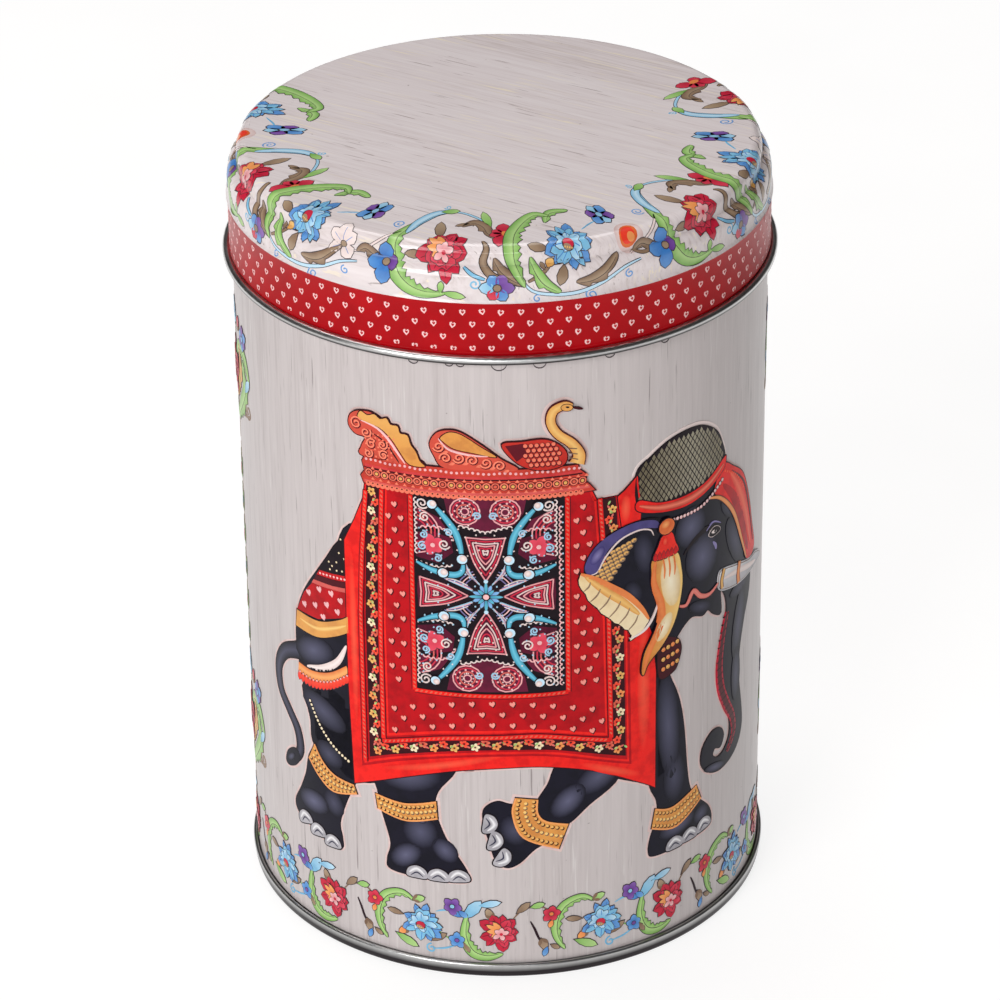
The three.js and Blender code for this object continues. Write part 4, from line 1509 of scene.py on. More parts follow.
def make_head(d):
    shape = curved(HEAD_SHAPE, steps=4)
    d.patch("halo", grown(shape, 0.6), 0)
    d.patch("ink", grown(shape, 0.2), 9)
    d.patch("skin", shape, 10)
    inner_edge = [
        (48.9, 66.4), (47.2, 60.6), (46.5, 55.2), (47.2, 50.4), (49.2, 46.0), (51.5, 42.0), (52.0, 38.2),
        (49.6, 35.2)
    ]
    d.ribbon("crimson", inner_edge, 2.3, 11, 0.0, (1.0, 0.8), middle=0.0)
    d.ribbon("maroon", inner_edge, 1.4, 12, 0.35, (0.6, 0.4))
    for x, y in spread_along(through(inner_edge), 22):
        d.stroke("maroon", [(x - 1.0, y - 0.1), (x + 1.0, y + 0.25)], 0.16, 13, 0.0)
    glows = [
        (37.4, 89.6, 8.0, 8.4, -20, 0.95), (40.6, 82.0, 9.0, 10.5, 14, 1.0),
        (48.8, 89.2, 7.0, 4.0, -50, 0.5), (51.4, 80.6, 5.0, 13, 26, 0.55), (53.4, 62, 4.4, 15, -12, 0.6),
        (52.6, 51, 3.6, 12, 0, 0.6), (45.4, 34.0, 7.0, 1.9, -14, 0.8), (53.2, 69.4, 7, 2.8, 0, 0.45),
        (40.2, 71.6, 6.6, 2.6, -20, 0.4)
    ]
    for x, y, width, height, turn, strength in glows:
        d.glow("skin", x, y, width, height, turn, 14, strength)
    d.ribbon("ink", [(35.6, 84.4), (38.4, 86.6), (42.4, 87.4), (45.6, 84.6)], 1.1, 15, 0.0, 0.2)
    make_eye(d)
    lip = [(34.2, 74.2), (36.4, 73.6), (38.2, 75.8), (40.2, 73.9), (43.0, 73.2), (46.4, 74.8)]
    d.inked_ribbon("rose", lip, 1.0, 15, 0.16, 0.4, 0.3, middle=0.8)
    tusk = curved(
        [(45.8, 75.9), (47.4, 76.2), (52.0, 74.9), (58, 73.0), (62.0, 72.4), (65.6, 70.4), (61.4, 70.4),
        (54, 70.7), (49.2, 71.6), (46, 73)]
    )
    d.patch("pearl", grown(tusk, 0.4), 16, 0.4)
    d.inked("pearl", tusk, 17, 0.14, lambda x, y: max(0.0, min(0.9, 0.35 + 0.14 * (y - 72))), "brown")
    d.ribbon("halo", [(47, 74.4), (52, 73.6), (58, 71.8), (61.6, 71.0)], 1.2, 19, 0.5, 0.2, middle=1.0)
    d.inked_ribbon("orange", [(53.2, 75.2), (52.6, 72.8), (52.9, 70.8)], 1.1, 20, 0.14, 0.2, middle=0.7)
    d.inked_ribbon("gold", [(47.3, 76.5), (46.5, 74.4), (46.7, 72.6)], 0.8, 20, 0.14, 0.2, middle=0.7)
    collar = [(30.0, 68.2), (33.8, 67.6), (35.2, 65.2), (34.6, 62.4), (33.4, 60.6), (30.0, 60.4)]
    d.outlined("maroon", curved(collar), 12, 0.2, 0.1, rim=0.5)
    for row in range(3):
        for column in range(4):
            d.bead(
                "gold" if (row + column) % 2 else "orange", 30.9 + column * 1.1,
                61.9 + row * 2.1 + column * 0.2, 0.95, 14
            )


def make_eye(d):
    """A long almond eye with a light rim and a heavy lid."""
    almond = curved([(42.4, 85.9), (43.6, 86.8), (45.0, 86.5), (45.7, 85.6), (44.2, 85.2), (43.1, 85.3)])
    d.patch("halo", grown(almond, 0.2), 17, 0.6)
    d.patch("ink", grown(almond, -0.1), 18)
    d.patch("halo", oval(43.8, 86.0, 1.5, 0.7, -8, 10), 19, 0.9)
    d.dot("ink", 44.1, 86.0, 0.62, 20, 0.0, 8)
    d.ribbon("purple", [(41.6, 87.0), (43.6, 88.1), (46.0, 86.9)], 0.36, 16, 0.8, 0.1)
    d.ribbon("purple", [(43.6, 83.9), (44.4, 82.9), (44.6, 81.9)], 0.7, 16, 0.9, 0.1)


def make_cap(d):
    """The dark cap with a net of pale cord, its brim and the red cloth at the neck."""
    neck_cloth = [(21.0, 101.1), (22.6, 102.2), (25.0, 104.4), (25.8, 97.6), (25.6, 94.0), (22.0, 93.4)]
    d.outlined("scarlet", neck_cloth, 12, 0.2, 0.0, "maroon")
    d.glow("scarlet", 22.6, 98.4, 2.2, 6, 0, 14, 0.7)
    dome = curved(
        [(25.0, 98.2), (24.9, 104.8), (28.0, 107.4), (32.0, 109.4), (36.5, 110.0), (40.4, 109.3),
        (44.0, 107.0), (46.0, 103.8), (46.8, 99.6), (41, 97.2), (36, 96.6), (30, 96.9)]
    )
    d.patch("halo", grown(dome, 0.8), 0, 0.8)
    d.inked("ink", dome, 12, 0.2)
    for row in range(15):
        for column in range(20):
            x = 25.6 + column * 1.14 + (row % 2) * 0.57
            y = 97.8 + row * 0.84
            if inside(dome, x, y, 0.5):
                dim = max(0.0, 0.5 - abs(x - 38) / 22)
                d.patch(
                    "net", [(x - 0.42, y), (x + 0.02, y + 0.66), (x + 0.42, y), (x - 0.02, y - 0.66)], 14,
                    dim
                )
    d.ribbon(
        "halo", [(25.4, 105.2), (28.4, 107.9), (32.2, 109.9), (36.6, 110.5), (40.8, 109.8), (44.6, 107.3),
        (46.6, 103.9)], 0.7, 3, 0.7, 0.2
    )
    brim = curved(
        [(25.0, 97.2), (30, 95.4), (36.2, 94.6), (42.0, 95.6), (46.6, 97.8), (47.4, 99.6), (46.8, 100.2),
        (41.6, 97.6), (36, 96.8), (30, 97.4), (25.4, 99.2)]
    )
    d.outlined("scarlet", brim, 16, 0.2, 0.0)
    d.ribbon(
        "coral", [(25.4, 98.1), (30, 96.4), (36.2, 95.7), (41.8, 96.6), (46.6, 98.9)], 1.5, 18, 0.0, 0.4,
        middle=0.9
    )
    pearls = through([(32.6, 92.9), (37, 92.7), (41.2, 93.2), (46.6, 96.0)])
    for x, y in spread_along(pearls, 17):
        d.dot("ink", x, y, 0.95, 18)
        d.dot("pink", x, y, 0.72, 19, 0.6, 8)
        d.dot("halo", x - 0.1, y + 0.12, 0.3, 20, 1.0, 6)


def inside(outline, x, y, margin=0.0):
    """Whether a point, and four round it, lie in an outline."""
    for u, v in ((0, 0), (margin, 0), (-margin, 0), (0, margin), (0, -margin)):
        crossings = 0
        for (ax, ay), (bx, by) in zip(outline, outline[1:] + outline[:1]):
            if (ay > y + v) != (by > y + v) and x + u < ax + (bx - ax) * (y + v - ay) / (by - ay):
                crossings += 1
        if crossings % 2 == 0:
            return False
    return True


def make_veil(d):
    """The red cloth that falls from the cap down the forehead to the tusk."""
    veil = curved(
        [(46.6, 98.8), (50.2, 96.8), (54.4, 93.2), (57.4, 86.6), (59.2, 80.6), (60.8, 75.4), (59.6, 73.6),
        (56.4, 74.2), (54.8, 79.0), (51.6, 86.0), (48.4, 90.4), (45.6, 92.6), (43.8, 94.6)]
    )
    d.outlined("scarlet", veil, 15, 0.2, 0.0)
    d.ribbon("red", [(46.6, 94.6), (50.6, 90.0), (54.0, 83.4), (57.0, 75.8)], 2.2, 17, 0.0, 0.4, middle=0.0)
    d.ribbon(
        "scarlet", [(49.0, 96.0), (52.2, 91.6), (55.8, 84.4), (58.4, 76.4)], 2.6, 17, 0.0, 0.4, middle=1.0
    )
    d.ribbon("maroon", [(49.6, 96.2), (54.6, 91.4), (57.6, 84.0), (59.8, 76.4)], 0.5, 18, 0.3, 0.1)
    edge = [(42.4, 93.6), (45.4, 92.4), (48.6, 89.4), (51.2, 85.6), (54.0, 79.4), (56.2, 74.6)]
    d.inked_ribbon("orange", edge, 0.9, 18, 0.14, 0.3, 0.3, middle=0.8)
    fold = through([(46.8, 97.4), (51.2, 94.6), (54.4, 90.2)])
    for x, y in spread_along(fold, 12):
        d.dot("scarlet", x, y, 0.5, 19, 0.8, 6)


def make_ear(d):
    ear = curved(
        [(14.6, 87.4), (16.2, 91.0), (19.6, 93.8), (24.4, 95.0), (29.0, 94.4), (31.4, 91.6), (31.2, 84),
        (30.2, 77.6), (28.4, 73.8), (25.0, 77.6), (20.4, 81.8), (15.8, 85.4)]
    )
    d.inked("skin", ear, 18, 0.2)
    d.glow("skin", 26.4, 88.0, 4.4, 9, 10, 20, 0.4)
    d.glow("skin", 24.2, 80.6, 3.4, 5, 30, 20, 0.3)
    band = curved(
        [(15.0, 86.6), (14.7, 88.6), (16.6, 91.8), (20.0, 94.0), (24.6, 95.0), (28.8, 94.2), (29.6, 92.4),
        (26.6, 93.2), (22.4, 92.8), (19.4, 91.0), (17.8, 88.4), (17.0, 86.4)]
    )
    d.inked("purple", band, 20, 0.16, 0.1)
    d.glow("purple", 17.0, 90.0, 2.0, 4.0, -35, 22, 0.7)
    d.ribbon(
        "halo", [(15.4, 86.2), (17.0, 86.6), (18.6, 89.4), (21.4, 92.2), (25.0, 93.2), (27.6, 92.6),
        (28.4, 91.2)], 0.36, 22, 0.4, 0.1
    )
    for row in range(7):
        for column in range(5):
            x, y = 24.2 - column * 1.05 - row * 0.78, 91.4 - row * 1.12 - column * 0.34
            if 16.4 < x < 25 and 82.4 < y < 92.4:
                d.patch("brown", oval(x, y, 1.36, 1.0, 14, 8), 22, 0.2)
                d.patch("gold", oval(x - 0.05, y + 0.1, 1.02, 0.66, 14, 8), 23, 0.5)
                d.patch("brown", oval(x + 0.06, y - 0.06, 0.42, 0.24, 14, 6), 24, 0.2)
    make_frill(d)
    make_tassel(d)


def make_frill(d):
    """The pale scalloped frill along the lower edge of the ear."""
    upper = through(
        [(13.8, 86.8), (16.4, 85.4), (19.6, 83.0), (23.0, 80.2), (25.8, 76.8), (27.4, 74.0)], steps=4
    )
    lower = through(
        [(13.4, 85.6), (15.4, 81.4), (18.8, 77.2), (22.0, 74.2), (23.8, 72.2), (23.6, 70.6)], steps=4
    )
    scallops = []
    for i, (x, y) in enumerate(lower):
        out = 0.34 * abs(math.sin(math.pi * i * 7 / (len(lower) - 1)))
        scallops.append((x - out * 0.7, y - out * 0.9))
    end = [(25.8, 71.6), (27.4, 73.6)]
    outline = upper + [end[1], end[0]] + scallops[::-1]
    d.inked("cream", outline, 24, 0.2, lambda x, y: 0.1 + 0.03 * (86 - y))
    d.stroke("orange", upper, 1.2, 26, 0.3, 0.4)
    d.ribbon("gold", [(14.6, 86.2), (18.2, 82.6), (22.0, 79.2), (25.4, 75.6)], 1.6, 26, 0.2, 0.4, middle=0.7)
    for i in range(1, 7):
        a, b = point_along(scallops, i / 7), point_along(upper, i / 7 * 0.98)
        fold = [a, tuple(Vector(a).lerp(b, 0.4) + Vector((0.25, -0.2))), tuple(Vector(a).lerp(b, 0.72))]
        d.ribbon("brown", fold, 0.3, 27, 0.3, 0.08)
    d.ribbon("halo", [(23.4, 71.0), (26.2, 71.8), (28.2, 73.8), (29.6, 77.0)], 0.6, 27, 0.2, 0.2, middle=0.9)


def make_tassel(d):
    """The tassel beside the ear: a knot, a red bell and a long flame of yellow cloth."""
    flame = curved(
        [(28.4, 86.4), (27.9, 83.4), (28.2, 80.2), (29.7, 76.6), (29.9, 73.8), (28.4, 70.4), (26.5, 67.0),
        (25.9, 63.6), (26.3, 62.4), (27.4, 64.6), (30.4, 67.4), (32.8, 70.6), (34.2, 74.2), (35.0, 78.4),
        (34.8, 82.0), (33.4, 86.2)]
    )
    d.inked("gold", flame, 28, 0.22, lambda x, y: max(0.0, min(0.9, (x - 28.4) * 0.16)))
    d.ribbon(
        "orange", [(28.8, 86.0), (28.4, 81.4), (30.0, 76.4), (30.0, 72.2), (27.6, 67.4), (26.4, 63.4)], 1.7,
        30, 0.1, 0.3, middle=0.3
    )
    d.glow("cream", 32.2, 80.4, 4.4, 11.0, 8, 30, 1.0)
    d.glow("cream", 30.8, 71.2, 2.8, 6.0, -30, 30, 0.9)
    for x in (30.4, 31.6, 32.8):
        d.ribbon("orange", [(x, 86.0), (x + 0.4, 83.4), (x + 0.3, 81.4)], 0.4, 31, 0.2, 0.1)
    bell = curved(
        [(30.2, 90.4), (32.3, 90.6), (33.2, 88.4), (33.9, 86.2), (31.2, 85.7), (28.2, 86.2), (29.2, 88.4)]
    )
    d.inked("scarlet", bell, 30, 0.2, 0.1)
    for i in range(6):
        d.petal("red", 28.7 + i * 0.92, 87.4, 268, 1.7, 0.9, 32, 0.1, 0.5, 0.06)
    d.glow("scarlet", 30.8, 89.2, 1.2, 1.8, 0, 33, 0.7)
    d.inked("orange", oval(31.2, 92.2, 3.5, 3.2), 32, 0.2, 0.1)
    d.glow("orange", 30.9, 92.7, 2.2, 1.8, 0, 34, 0.9)


def make_elephant(sheet_print, turn):
    """One caparisoned elephant, a given number of degrees round the tin."""
    across = math.radians(turn) * WALL_RADIUS
    d = Drawing(sheet_print, lambda x, y: (x + across, y))
    make_tail(d)
    make_skin(d)
    make_anklets(d)
    make_rump_cloth(d)
    make_blanket(d)
    make_carpet(d)
    make_head(d)
    make_howdah(d)
    make_cap(d)
    make_veil(d)
    make_ear(d)


# -------- flower borders
BASE_REPEATS = 9
BASE_HEIGHT = 9.8
BASE_START = -1.5
LID_HALVES = [(1, 1, 1), (1, 1, 1), (1, 0, 1), (0, 0, 0), (0, 1, 0), (1, 1, 1)]
LID_START = -12.0


def base_spray(d):
    """One repeat of the band of flowers round the foot."""
    d.ribbon("green", [(-12, -0.5), (-9, -2.6), (-7, -3.4)], 0.3, 0, 0.1, 0.1)
    d.leaf("green", [(0.4, -4.8), (-2.6, -5.5), (-5.4, -4.4), (-6.8, -0.8), (-6.4, 3.9)], 2.3, 2, 9)
    d.petal("sky", -7.0, 2.8, 52, 5.4, 2.4, 2, 0.0, 0.6, 0.16)
    d.petal("sky", -4.2, 6.0, 12, 4.4, 1.5, 3, 0.1, 0.8, 0.16)
    d.petal("blue", -7.4, 3.2, 150, 2.2, 1.2, 2, 0.0, 0.6, 0.14)
    d.bud("brown", -1.6, 3.0, 112, 2.6, 4)
    d.peony(0, 0, 4.1, 6)
    d.ribbon("brown", [(2.4, 3.2), (4.4, 5.2), (7.6, 5.6), (9.4, 4.2)], 0.36, 2, 0.1, 0.2)
    d.petal("brown", 3.0, 4.4, 42, 3.4, 1.4, 3, 0.1, 0.6, 0.14)
    d.petal("green", 5.6, 5.6, 12, 2.8, 1.3, 3, 0.1, 0.6, 0.14)
    d.floret(9.6, 3.8, 1.8, "crimson", "orange", 4, 5, 80)
    d.petal("orange", 9.8, 2.4, 250, 1.8, 1.0, 4, 0.2, 0.8, 0.12)
    d.ribbon("ink", [(5.6, 2.4), (6.4, 0.6), (7.2, -1.6), (8.2, -3.2)], 0.5, 2, 0.3, 0.2)
    d.bud("brown", 7.6, -1.6, 290, 2.8, 3)
    d.petal("blue", 8.8, -3.6, 250, 2.2, 1.1, 4, 0.1, 0.7, 0.12)
    d.petal("brown", 9.4, -3.2, 330, 2.0, 1.0, 4, 0.1, 0.6, 0.12)
    d.leaf(
        "green", [(12.2, -4.6), (10.7, -1.6), (10.6, 2.0), (12.2, 5.2), (15.4, 6.6), (18.0, 5.4)], 2.1, 2,
        10
    )
    d.bud("green", 17.6, 5.6, 20, 2.6, 4)
    d.petal("brown", 15.6, 1.8, 172, 3.2, 1.2, 3, 0.1, 0.6, 0.14)
    d.bud("orange", 16.8, -1.0, 215, 2.6, 4)
    d.petal("green", 14.0, -2.8, 335, 5.0, 1.7, 3, 0.1, 0.8, 0.16)
    d.aster(19.4, 0.6, 4.2, 6)
    d.ribbon("sky", [(21.4, -4.8), (24.2, -4.2), (27.0, -2.8)], 0.34, 2, 0.1, 0.1)
    d.spiral("sky", 21.2, -4.8, 1.1, 2, 0.3, 1.2, 90, 1, 0.1)
    d.ribbon("sky", [(22.2, 3.8), (24.6, 4.4), (27.8, 3.2)], 0.36, 2, 0.1, 0.1)
    d.floret(25.4, 5.4, 1.9, "violet", "sky", 3, 5, 60)
    d.petal("blue", 26.6, 4.6, 320, 2.2, 1.2, 3, 0.1, 0.7, 0.12)
    d.petal("brown", 21.2, -3.0, 34, 3.6, 1.3, 3, 0.1, 0.6, 0.14)
    d.floret(26.2, -2.2, 1.7, "blue", "violet", 3, 5, 90)
    d.petal("brown", 27.4, -2.6, 300, 2.4, 1.0, 3, 0.1, 0.6, 0.12)


def lid_red_spray(d):
    """The first half of a repeat on the lid: a red peony in the bend of a long leaf."""
    d.leaf(
        "green", [(0.8, -6.9), (-3.0, -7.2), (-6.2, -6.0), (-8.4, -3.2), (-9.2, 0.4), (-9.0, 4.6),
        (-7.8, 9.4)], 3.1, 2, 13
    )
    d.petal("green", 0.2, -6.8, 350, 4.0, 1.3, 3, 0.0, 0.8, 0.13)
    d.petal("green", -0.2, -6.9, 84, 2.2, 1.1, 3, 0.0, 0.8, 0.13)
    d.inked_ribbon(
        "sky", [(-8.0, 4.4), (-7.4, 9.2), (-5.2, 13.2), (-1.6, 15.0)], 2.2, 5, 0.14, 0.2, 0.3, middle=0.9
    )
    d.ribbon("line", [(-7.2, 7.4), (-5.6, 11.4), (-3.0, 13.9)], 0.14, 7, tip=0.05)
    d.spiral("sky", -3.4, 16.3, 0.9, 2, 0.26, 1.3, 200, 1, 0.2)
    d.petal("green", -4.2, 14.2, 14, 4.4, 1.8, 6, 0.0, 0.7, 0.13)
    d.inked_ribbon("sky", [(-2.2, 14.9), (1.8, 14.4), (5.7, 12.4), (8.2, 9.9)], 0.55, 2, 0.12, 0.5, 0.2)
    d.petal("green", 8.4, 9.4, 112, 6.4, 2.1, 3, 0.0, 0.8, 0.14)
    d.leaf("brown", [(2.2, 9.0), (4.4, 10.9), (6.8, 9.4), (8.0, 6.8), (10.2, 4.4)], 2.6, 3, 3, 0.5)
    d.petal("brown", 3.6, 10.6, 206, 3.2, 1.1, 3, 0.1, 0.5, 0.13)
    for turn, long, wide in (
        (88, 4.0, 3.0), (196, 2.8, 2.0), (330, 2.8, 2.6), (258, 4.6, 3.0), (150, 2.6, 2.0)
    ):
        d.petal("crimson", 10.9, 6.6, turn, long, wide, 5, 0.0, 0.6, 0.14)
    d.patch("orange", oval(11.4, 6.4, 1.5, 2.4, 20), 7, 0.3)
    d.petal("brown", -1.2, 4.0, 104, 6.4, 2.2, 4, 0.2, 0.8, 0.15)
    d.petal("brown", -3.2, 0.0, 184, 3.8, 1.6, 4, 0.1, 0.6, 0.14)
    d.peony(0.1, 0.9, 4.8, 6, 1.15)
    d.inked_ribbon("sky", [(3.8, -1.8), (5.4, -3.2), (7.6, -4.0)], 0.6, 3, 0.12, 0.2, 0.3)
    d.spiral("sky", 5.8, -4.9, 1.1, 2, 0.3, 1.3, 60, -1, 0.2)
    d.inked_ribbon(
        "brown", [(7.0, 3.6), (7.8, 1.6), (7.2, -0.9), (8.6, -3.2), (11.0, -4.2), (14.6, -5.4)], 1.3, 4,
        0.15, 0.2, 0.2, middle=0.6
    )
    d.leaf("brown", [(9.2, 0.0), (10.2, -2.2), (12.0, -3.8), (14.6, -5.2)], 2.0, 5, 3, 0.6)
    d.floret(9.7, -5.6, 2.8, ("violet", "blue", "sky", "crimson", "blue"), "brown", 6, 6, 60, 0.15)


def lid_blue_spray(d):
    """The second half of a repeat: a blue flower in the bend of the next long leaf."""
    d.leaf(
        "green", [(14.5, -5.6), (12.8, -1.9), (12.3, 1.8), (13.1, 6.8), (15.6, 11.2), (18.8, 13.6),
        (22.0, 12.4)], 3.2, 8, 14
    )
    d.leaf("green", [(20.2, 10.0), (22.4, 13.6), (27.2, 13.8)], 2.2, 7, 3)
    d.petal("brown", 18.8, 1.2, 164, 3.6, 1.8, 4, 0.1, 0.7, 0.14)
    d.inked_ribbon("brown", [(19.2, -1.6), (17.6, -3.2), (15.0, -4.6)], 0.6, 3, 0.1, 0.3, 0.3)
    d.petal("gold", 18.6, -2.2, 60, 1.9, 1.7, 4, 0.2, 0.8, 0.14)
    d.petal("brown", 18.0, -2.6, 110, 1.6, 0.8, 5, 0.1, 0.5, 0.1)
    d.leaf("green", [(15.6, 0.0), (16.6, -3.2), (18.2, -5.4), (20.8, -7.0)], 2.1, 4, 3)
    d.petal("brown", 21.6, -2.0, 254, 3.8, 1.9, 4, 0.2, 0.7, 0.14)
    d.aster(22.9, 2.3, 4.6, 10, 1.3)
    stem = [(13.6, -3.6), (15.8, -6.4), (19.9, -7.4), (24.1, -7.4), (28.4, -6.2), (32.4, -4.2), (35.8, -3.4)]
    d.inked_ribbon("sky", stem, 0.6, 2, 0.12, 0.8, 0.2)
    d.spiral("blue", 26.2, -8.3, 1.2, 2, 0.24, 1.5, 100, 1, 0.5)
    d.spiral("blue", 33.4, -5.6, 0.9, 2, 0.24, 1.2, 100, 1, 0.5)
    d.spiral("blue", 16.6, -7.9, 0.8, 2, 0.22, 1.1, 60, 1, 0.5)
    d.leaf("brown", [(23.4, -5.4), (26.2, -5.4), (28.8, -4.2), (31.8, -1.2)], 2.2, 4, 3, 0.7)
    d.ribbon("sky", [(26.6, 5.6), (29.0, 7.2), (31.0, 8.0)], 0.4, 2, 0.1, 0.15)
    d.floret(32.8, 9.9, 2.7, ("blue", "sky", "violet"), "sky", 4, 6, 40, 0.15, 1.6)


def lid_joining_spray(d, odd):
    """What joins a repeat to the one before: a dark blue flower with a white or a red one beside it."""
    d.inked_ribbon("halo", [(-17.4, -2.0), (-13.6, 0.2), (-10.8, 2.6), (-9.2, 4.8)], 0.4, 2, 0.1, 0.6, 0.2)
    d.spiral("blue", -10.9, 7.4, 1.4, 2, 0.26, 1.5, 300, -1, 0.5)
    d.leaf("brown", [(-16.6, -1.6), (-14.8, -0.6), (-13.0, -1.4), (-10.8, -2.4)], 1.8, 3, 3, 0.6)
    for turn, long, paint_name in (
        (98, 3.6, "blue"), (184, 3.4, "blue"), (262, 4.2, "blue"), (4, 2.2, "violet")
    ):
        d.petal(paint_name, -10.3, -2.4, turn, long, 2.9, 6, 0.0, 0.4, 0.15)
    d.dot("line", -10.2, -2.4, 1.7, 8)
    d.dot("brown", -10.2, -2.4, 1.35, 9, 0.5)
    if odd:
        for turn, long, wide in (
            (84, 4.4, 2.8), (40, 3.6, 2.4), (136, 3.4, 2.6), (214, 3.0, 2.4), (318, 3.4, 2.6)
        ):
            d.petal("halo", -19.6, -0.9, turn, long, wide, 4, 0.5, 0.9, 0.13)
            start, end = way(turn, 0.8), way(turn, long * 0.72)
            d.stroke(
                "blue", [(-19.6 + start[0], -0.9 + start[1]), (-19.6 + end[0], -0.9 + end[1])], 1.0, 6, 0.1,
                0.1
            )
        d.dot("line", -19.4, -0.9, 1.5, 7)
        d.dot("brown", -19.4, -0.9, 1.2, 8, 0.6)
    else:
        d.glow("halo", -17.0, 1.3, 5.6, 7.0, 0, 2, 1.0)
        d.glow("orange", -17.2, 1.4, 3.6, 4.8, -20, 3, 0.2)
        d.patch("scarlet", oval(-17.3, 1.5, 2.7, 3.6, -20), 5, 0.3)
        d.patch("orange", oval(-16.8, 1.0, 1.5, 1.9), 6, 0.6)
        d.inked_ribbon("brown", [(-17.0, -1.4), (-15.0, -2.4), (-12.6, -2.2)], 0.6, 3, 0.1, 0.3, 0.1)


def make_base_border(sheet_print):
    pitch = TURN * WALL_RADIUS / BASE_REPEATS
    for i in range(BASE_REPEATS):
        start = BASE_START + pitch * i
        base_spray(Drawing(sheet_print, lambda x, y, start=start: (x + start, y + BASE_HEIGHT)))


def make_lid_wreath(sheet_print):
    """Repeats of the wreath, with a plain stretch across the back of the lid."""
    for i, (red, blue, joining) in enumerate(LID_HALVES):
        start = math.radians(LID_START + 360 / len(LID_HALVES) * i) * LID_RING
        d = Drawing(sheet_print, lambda x, y, start=start: (x + start, LID_RING - y))
        if red:
            lid_red_spray(d)
        if blue:
            lid_blue_spray(d)
        if joining:
            lid_joining_spray(d, i % 2 == 0)


HEARTS_ROUND = 92
HEART_ROWS = 4
TOP_HEART_ROW = 140.5
HEART_ROW_GAP = 2.35


def make_skirt_hearts(sheet_print):
    """Four staggered rows of little pale hearts on the red skirt."""
    pitch = TURN * SKIRT_RADIUS / HEARTS_ROUND
    draw = random.Random(8)
    sheet = Drawing(sheet_print, lambda u, v: (u, v))
    for row in range(HEART_ROWS):
        for i in range(HEARTS_ROUND):
            x = (i + 0.5 * (row % 2)) * pitch + draw.uniform(-0.12, 0.12)
            y = TOP_HEART_ROW - row * HEART_ROW_GAP + 0.22 * math.sin(i * 0.7) + draw.uniform(-0.08, 0.08)
            turn = draw.uniform(-14, 14)
            sheet.heart("pink", x, y, 1.2, 0, turn, 0.8)
            sheet.heart("red", x + 0.05, y + 0.03, 0.58, 1, turn, 0.0)


def make_garland(sheet_print, turn):
    """A tall column of leaves and flowers between the two elephants."""
    across = math.radians(turn) * WALL_RADIUS
    d = Drawing(sheet_print, lambda x, y: (x + across, y))
    for foot in GARLAND_FEET:
        for side in (1, -1):
            d.leaf(
                "green", [(0, foot - 1), (side * 4.6, foot + 2.4), (side * 9.4, foot + 8.2),
                (side * 7.8, foot + 14)], 3.6, 2, 11
            )
            d.leaf(
                "gold", [(0, foot + 3), (side * 3.4, foot + 6.6), (side * 6.2, foot + 11),
                (side * 5.0, foot + 16)], 2.6, 3, 8
            )
            d.leaf(
                "green", [(side * 1.0, foot + 12), (side * 5.0, foot + 15.4), (side * 9.4, foot + 15.2),
                (side * 12.4, foot + 11)], 3.0, 2, 9
            )
            d.petal("sky", side * 9.4, foot + 8, 90 - side * 40, 4.6, 1.8, 3, 0.1, 0.8, 0.16)
            d.spiral("brown", side * 11.0, foot + 4.6, 2.0, 2, 0.4, 1.5, 90, side, 0.3)
            d.ribbon(
                "brown", [(side * 6.4, foot + 3.6), (side * 9.2, foot + 3.0), (side * 12.4, foot + 4.4)],
                0.5, 2, 0.3, 0.2
            )
            d.floret(side * 8.6, foot + 18.6, 2.5, ("violet", "blue"), "sky", 5, 6, 90)
            d.bud("crimson", side * 4.2, foot + 18.4, 90 - side * 20, 3.6, 5)
        d.ribbon("brown", [(0, foot - 6), (0.6, foot), (-0.6, foot + 8), (0, foot + 20)], 0.8, 1, 0.2, 0.3)
        d.peony(0, foot + 9.4, 5.4, 8)
        d.floret(0, foot + 20.8, 2.8, "sky", "blue", 5, 6, 90)
    d.ribbon("brown", [(0, 46), (-0.8, 60), (0.8, 76), (0, 92)], 0.7, 1, 0.2, 0.3)
    for i in range(6):
        for side in (1, -1):
            y = 48.5 + i * 7.2
            d.leaf("green", [(0, y), (side * 1.2, y + 1.6), (side * 2.0, y + 5.0)], 1.3, 2, 4)
        d.bud("crimson" if i % 2 else "blue", 0, 49.0 + i * 7.2, 90, 2.4, 6)


def make_side_seam():
    """The bare strip where the body sheet's edges meet, with its fine weld bead."""
    across = math.radians(SEAM_TURN) * WALL_RADIUS
    low, high = END_LOW.z + 3.0, WALL_HIGH.z - 6.0
    strip = Print("side_seam", "caddy_body", wrap_round(WALL_RADIUS), WALL_CUT)
    for half, level in ((SEAM_BARE / 2, 1), (SEAM_BEAD / 2, 5)):
        left, right = across - half, across + half
        corners = [(left, low), (right, low), (right, high), (left, high)]
        strip.film("seam", corners, [[0, 1, 2, 3]], level, [0] * 4)
    strip.finish()


SEAM_TURN = 114.0
SEAM_BARE = 3.0
SEAM_BEAD = 0.7
GARLAND_TURNS = (-84.0, 96.0)
GARLAND_FEET = (23.0, 99.0)
PAINTS["seam"] = ("bare_tin",)
PAINT_FINISHES["seam"] = TIN


ELEPHANT_TURNS = (0.0, 180.0)


def make_wall_print():
    wall = Print("body_print", "caddy_body", wrap_round(WALL_RADIUS), WALL_CUT)
    for turn in ELEPHANT_TURNS:
        make_elephant(wall, turn)
    make_base_border(wall)
    for turn in GARLAND_TURNS:
        make_garland(wall, turn)
    make_rim_curls(wall)
    wall.finish()
    make_side_seam()


RIM_CURL_HEIGHT = 130.4


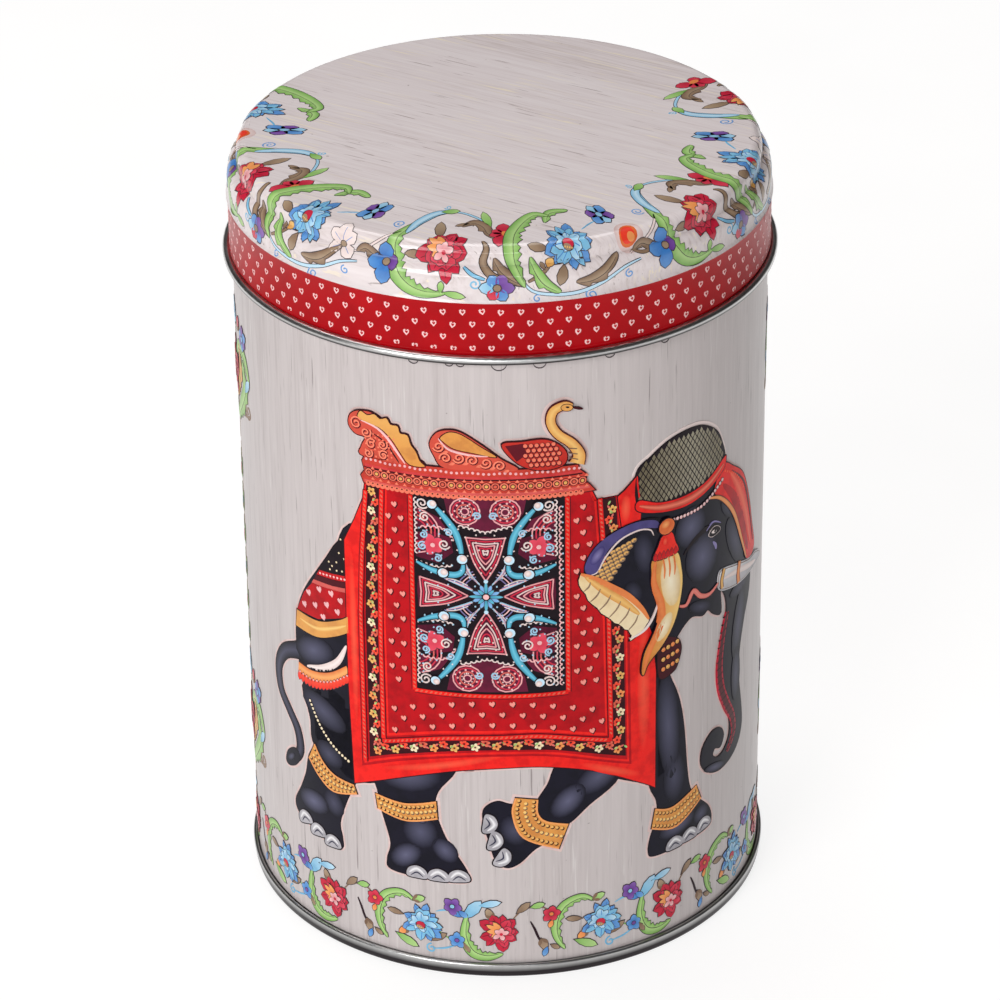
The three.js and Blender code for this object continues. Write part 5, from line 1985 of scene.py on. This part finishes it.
def make_rim_curls(sheet_print):
    """The lower ends of small line-drawn curls that the lid otherwise covers."""
    d = Drawing(sheet_print, lambda x, y: (x, y))
    for x, size in (
        (-15.8, 1.0), (-9.3, 0.8), (-7.3, 0.8), (-0.5, 1.4), (6.7, 1.2), (19.6, 1.0), (31.0, 1.0)
    ):
        d.stroke("line", ring(x, RIM_CURL_HEIGHT, size, 190, 350, 7), 0.2, 1, 0.1, 0.1)


def make_lid_print():
    crown = Print("lid_print", "slip_lid", LID_FACE.wrap, LID_CUT, LID_FACE.ends[1:-1], THIN_RISES)
    make_lid_wreath(crown)
    crown.finish()
    skirt = Print("skirt_print", "slip_lid", wrap_round(SKIRT_RADIUS), LID_CUT)
    make_skirt_hearts(skirt)
    skirt.finish()


make_wall_print()
make_lid_print()


make_slip_lid()
make_body()
make_bottom_end()
make_plug_lid()


# -------- floor, camera and lights
CAMERA_PLACE = Vector((0, -722.339, 476.384)) * MM
CAMERA_AIM = Vector((-0.645, 0, 75.636)) * MM
CAMERA_ROLL = math.radians(-0.7428)
CAMERA_LENS = 155.57


FLOOR_SIZE = 4000
FLOOR_GLOW = 0.83


def make_floor():
    """A plain white floor that glows a little, so that no dark edge shows."""
    bm = bmesh.new()
    bmesh.ops.create_grid(bm, x_segments=1, y_segments=1, size=FLOOR_SIZE)
    floor = finish_mesh(bm, "studio_floor")
    f = Finish("studio_floor_paper")
    paper = f.ramp(f.noise(60.0, 2.0), (0.3, tint(134, 131, 129)), (0.7, tint(140, 137, 135)))
    white = tint(255, 255, 255)
    paper_finish = f.surface(
        Base_Color=paper, Roughness=0.8, Emission_Color=white, Emission_Strength=FLOOR_GLOW
    )
    floor.data.materials.append(paper_finish)


def make_camera():
    ahead = (CAMERA_AIM - CAMERA_PLACE).normalized()
    right = ahead.cross(Vector((0, 0, 1))).normalized()
    up = right.cross(ahead)
    turned_right = right * math.cos(CAMERA_ROLL) + up * math.sin(CAMERA_ROLL)
    turned_up = up * math.cos(CAMERA_ROLL) - right * math.sin(CAMERA_ROLL)
    data = bpy.data.cameras.new("studio_camera")
    data.lens = CAMERA_LENS
    data.sensor_width = 36
    data.clip_end = 20
    camera = bpy.data.objects.new("studio_camera", data)
    axes = Matrix((turned_right, turned_up, -ahead)).transposed().to_4x4()
    camera.matrix_world = Matrix.Translation(CAMERA_PLACE) @ axes
    bpy.context.scene.collection.objects.link(camera)
    bpy.context.scene.camera = camera


STUDIO_LIGHTS = [
    ("key_softbox", (-0.58, -0.95, 0.7), (0, 0, 0.08), (0.5, 0.6), 9.2),
    ("front_softbox", (-0.1, -1.1, 0.55), (0, 0, 0.08), (0.6, 0.12), 2.0),
    ("top_softbox", (-0.1, 0.3, 1.2), (0, 0, 0.1), (0.9, 0.6), 8.0),
]


def make_light(name, place, aim, size, power):
    """A rectangular lamp at a place, aimed at a point, with its size in metres and its power in watts."""
    data = bpy.data.lights.new(name, "AREA")
    data.shape = "RECTANGLE"
    data.size, data.size_y = size
    data.energy = power
    light = bpy.data.objects.new(name, data)
    light.location = place
    light.rotation_euler = (Vector(aim) - Vector(place)).to_track_quat("-Z", "Y").to_euler()
    bpy.context.scene.collection.objects.link(light)


def make_studio():
    make_floor()
    make_camera()
    for name, place, aim, size, power in STUDIO_LIGHTS:
        make_light(name, place, aim, size, power)
    world = bpy.data.worlds.new("studio_air")
    world.use_nodes = True
    air = world.node_tree.nodes["Background"].inputs
    air["Color"].default_value = (1.0, 0.95, 0.91, 1)
    air["Strength"].default_value = 0.02
    bpy.context.scene.world = world
    bpy.context.scene.view_settings.view_transform = "Standard"


make_studio()
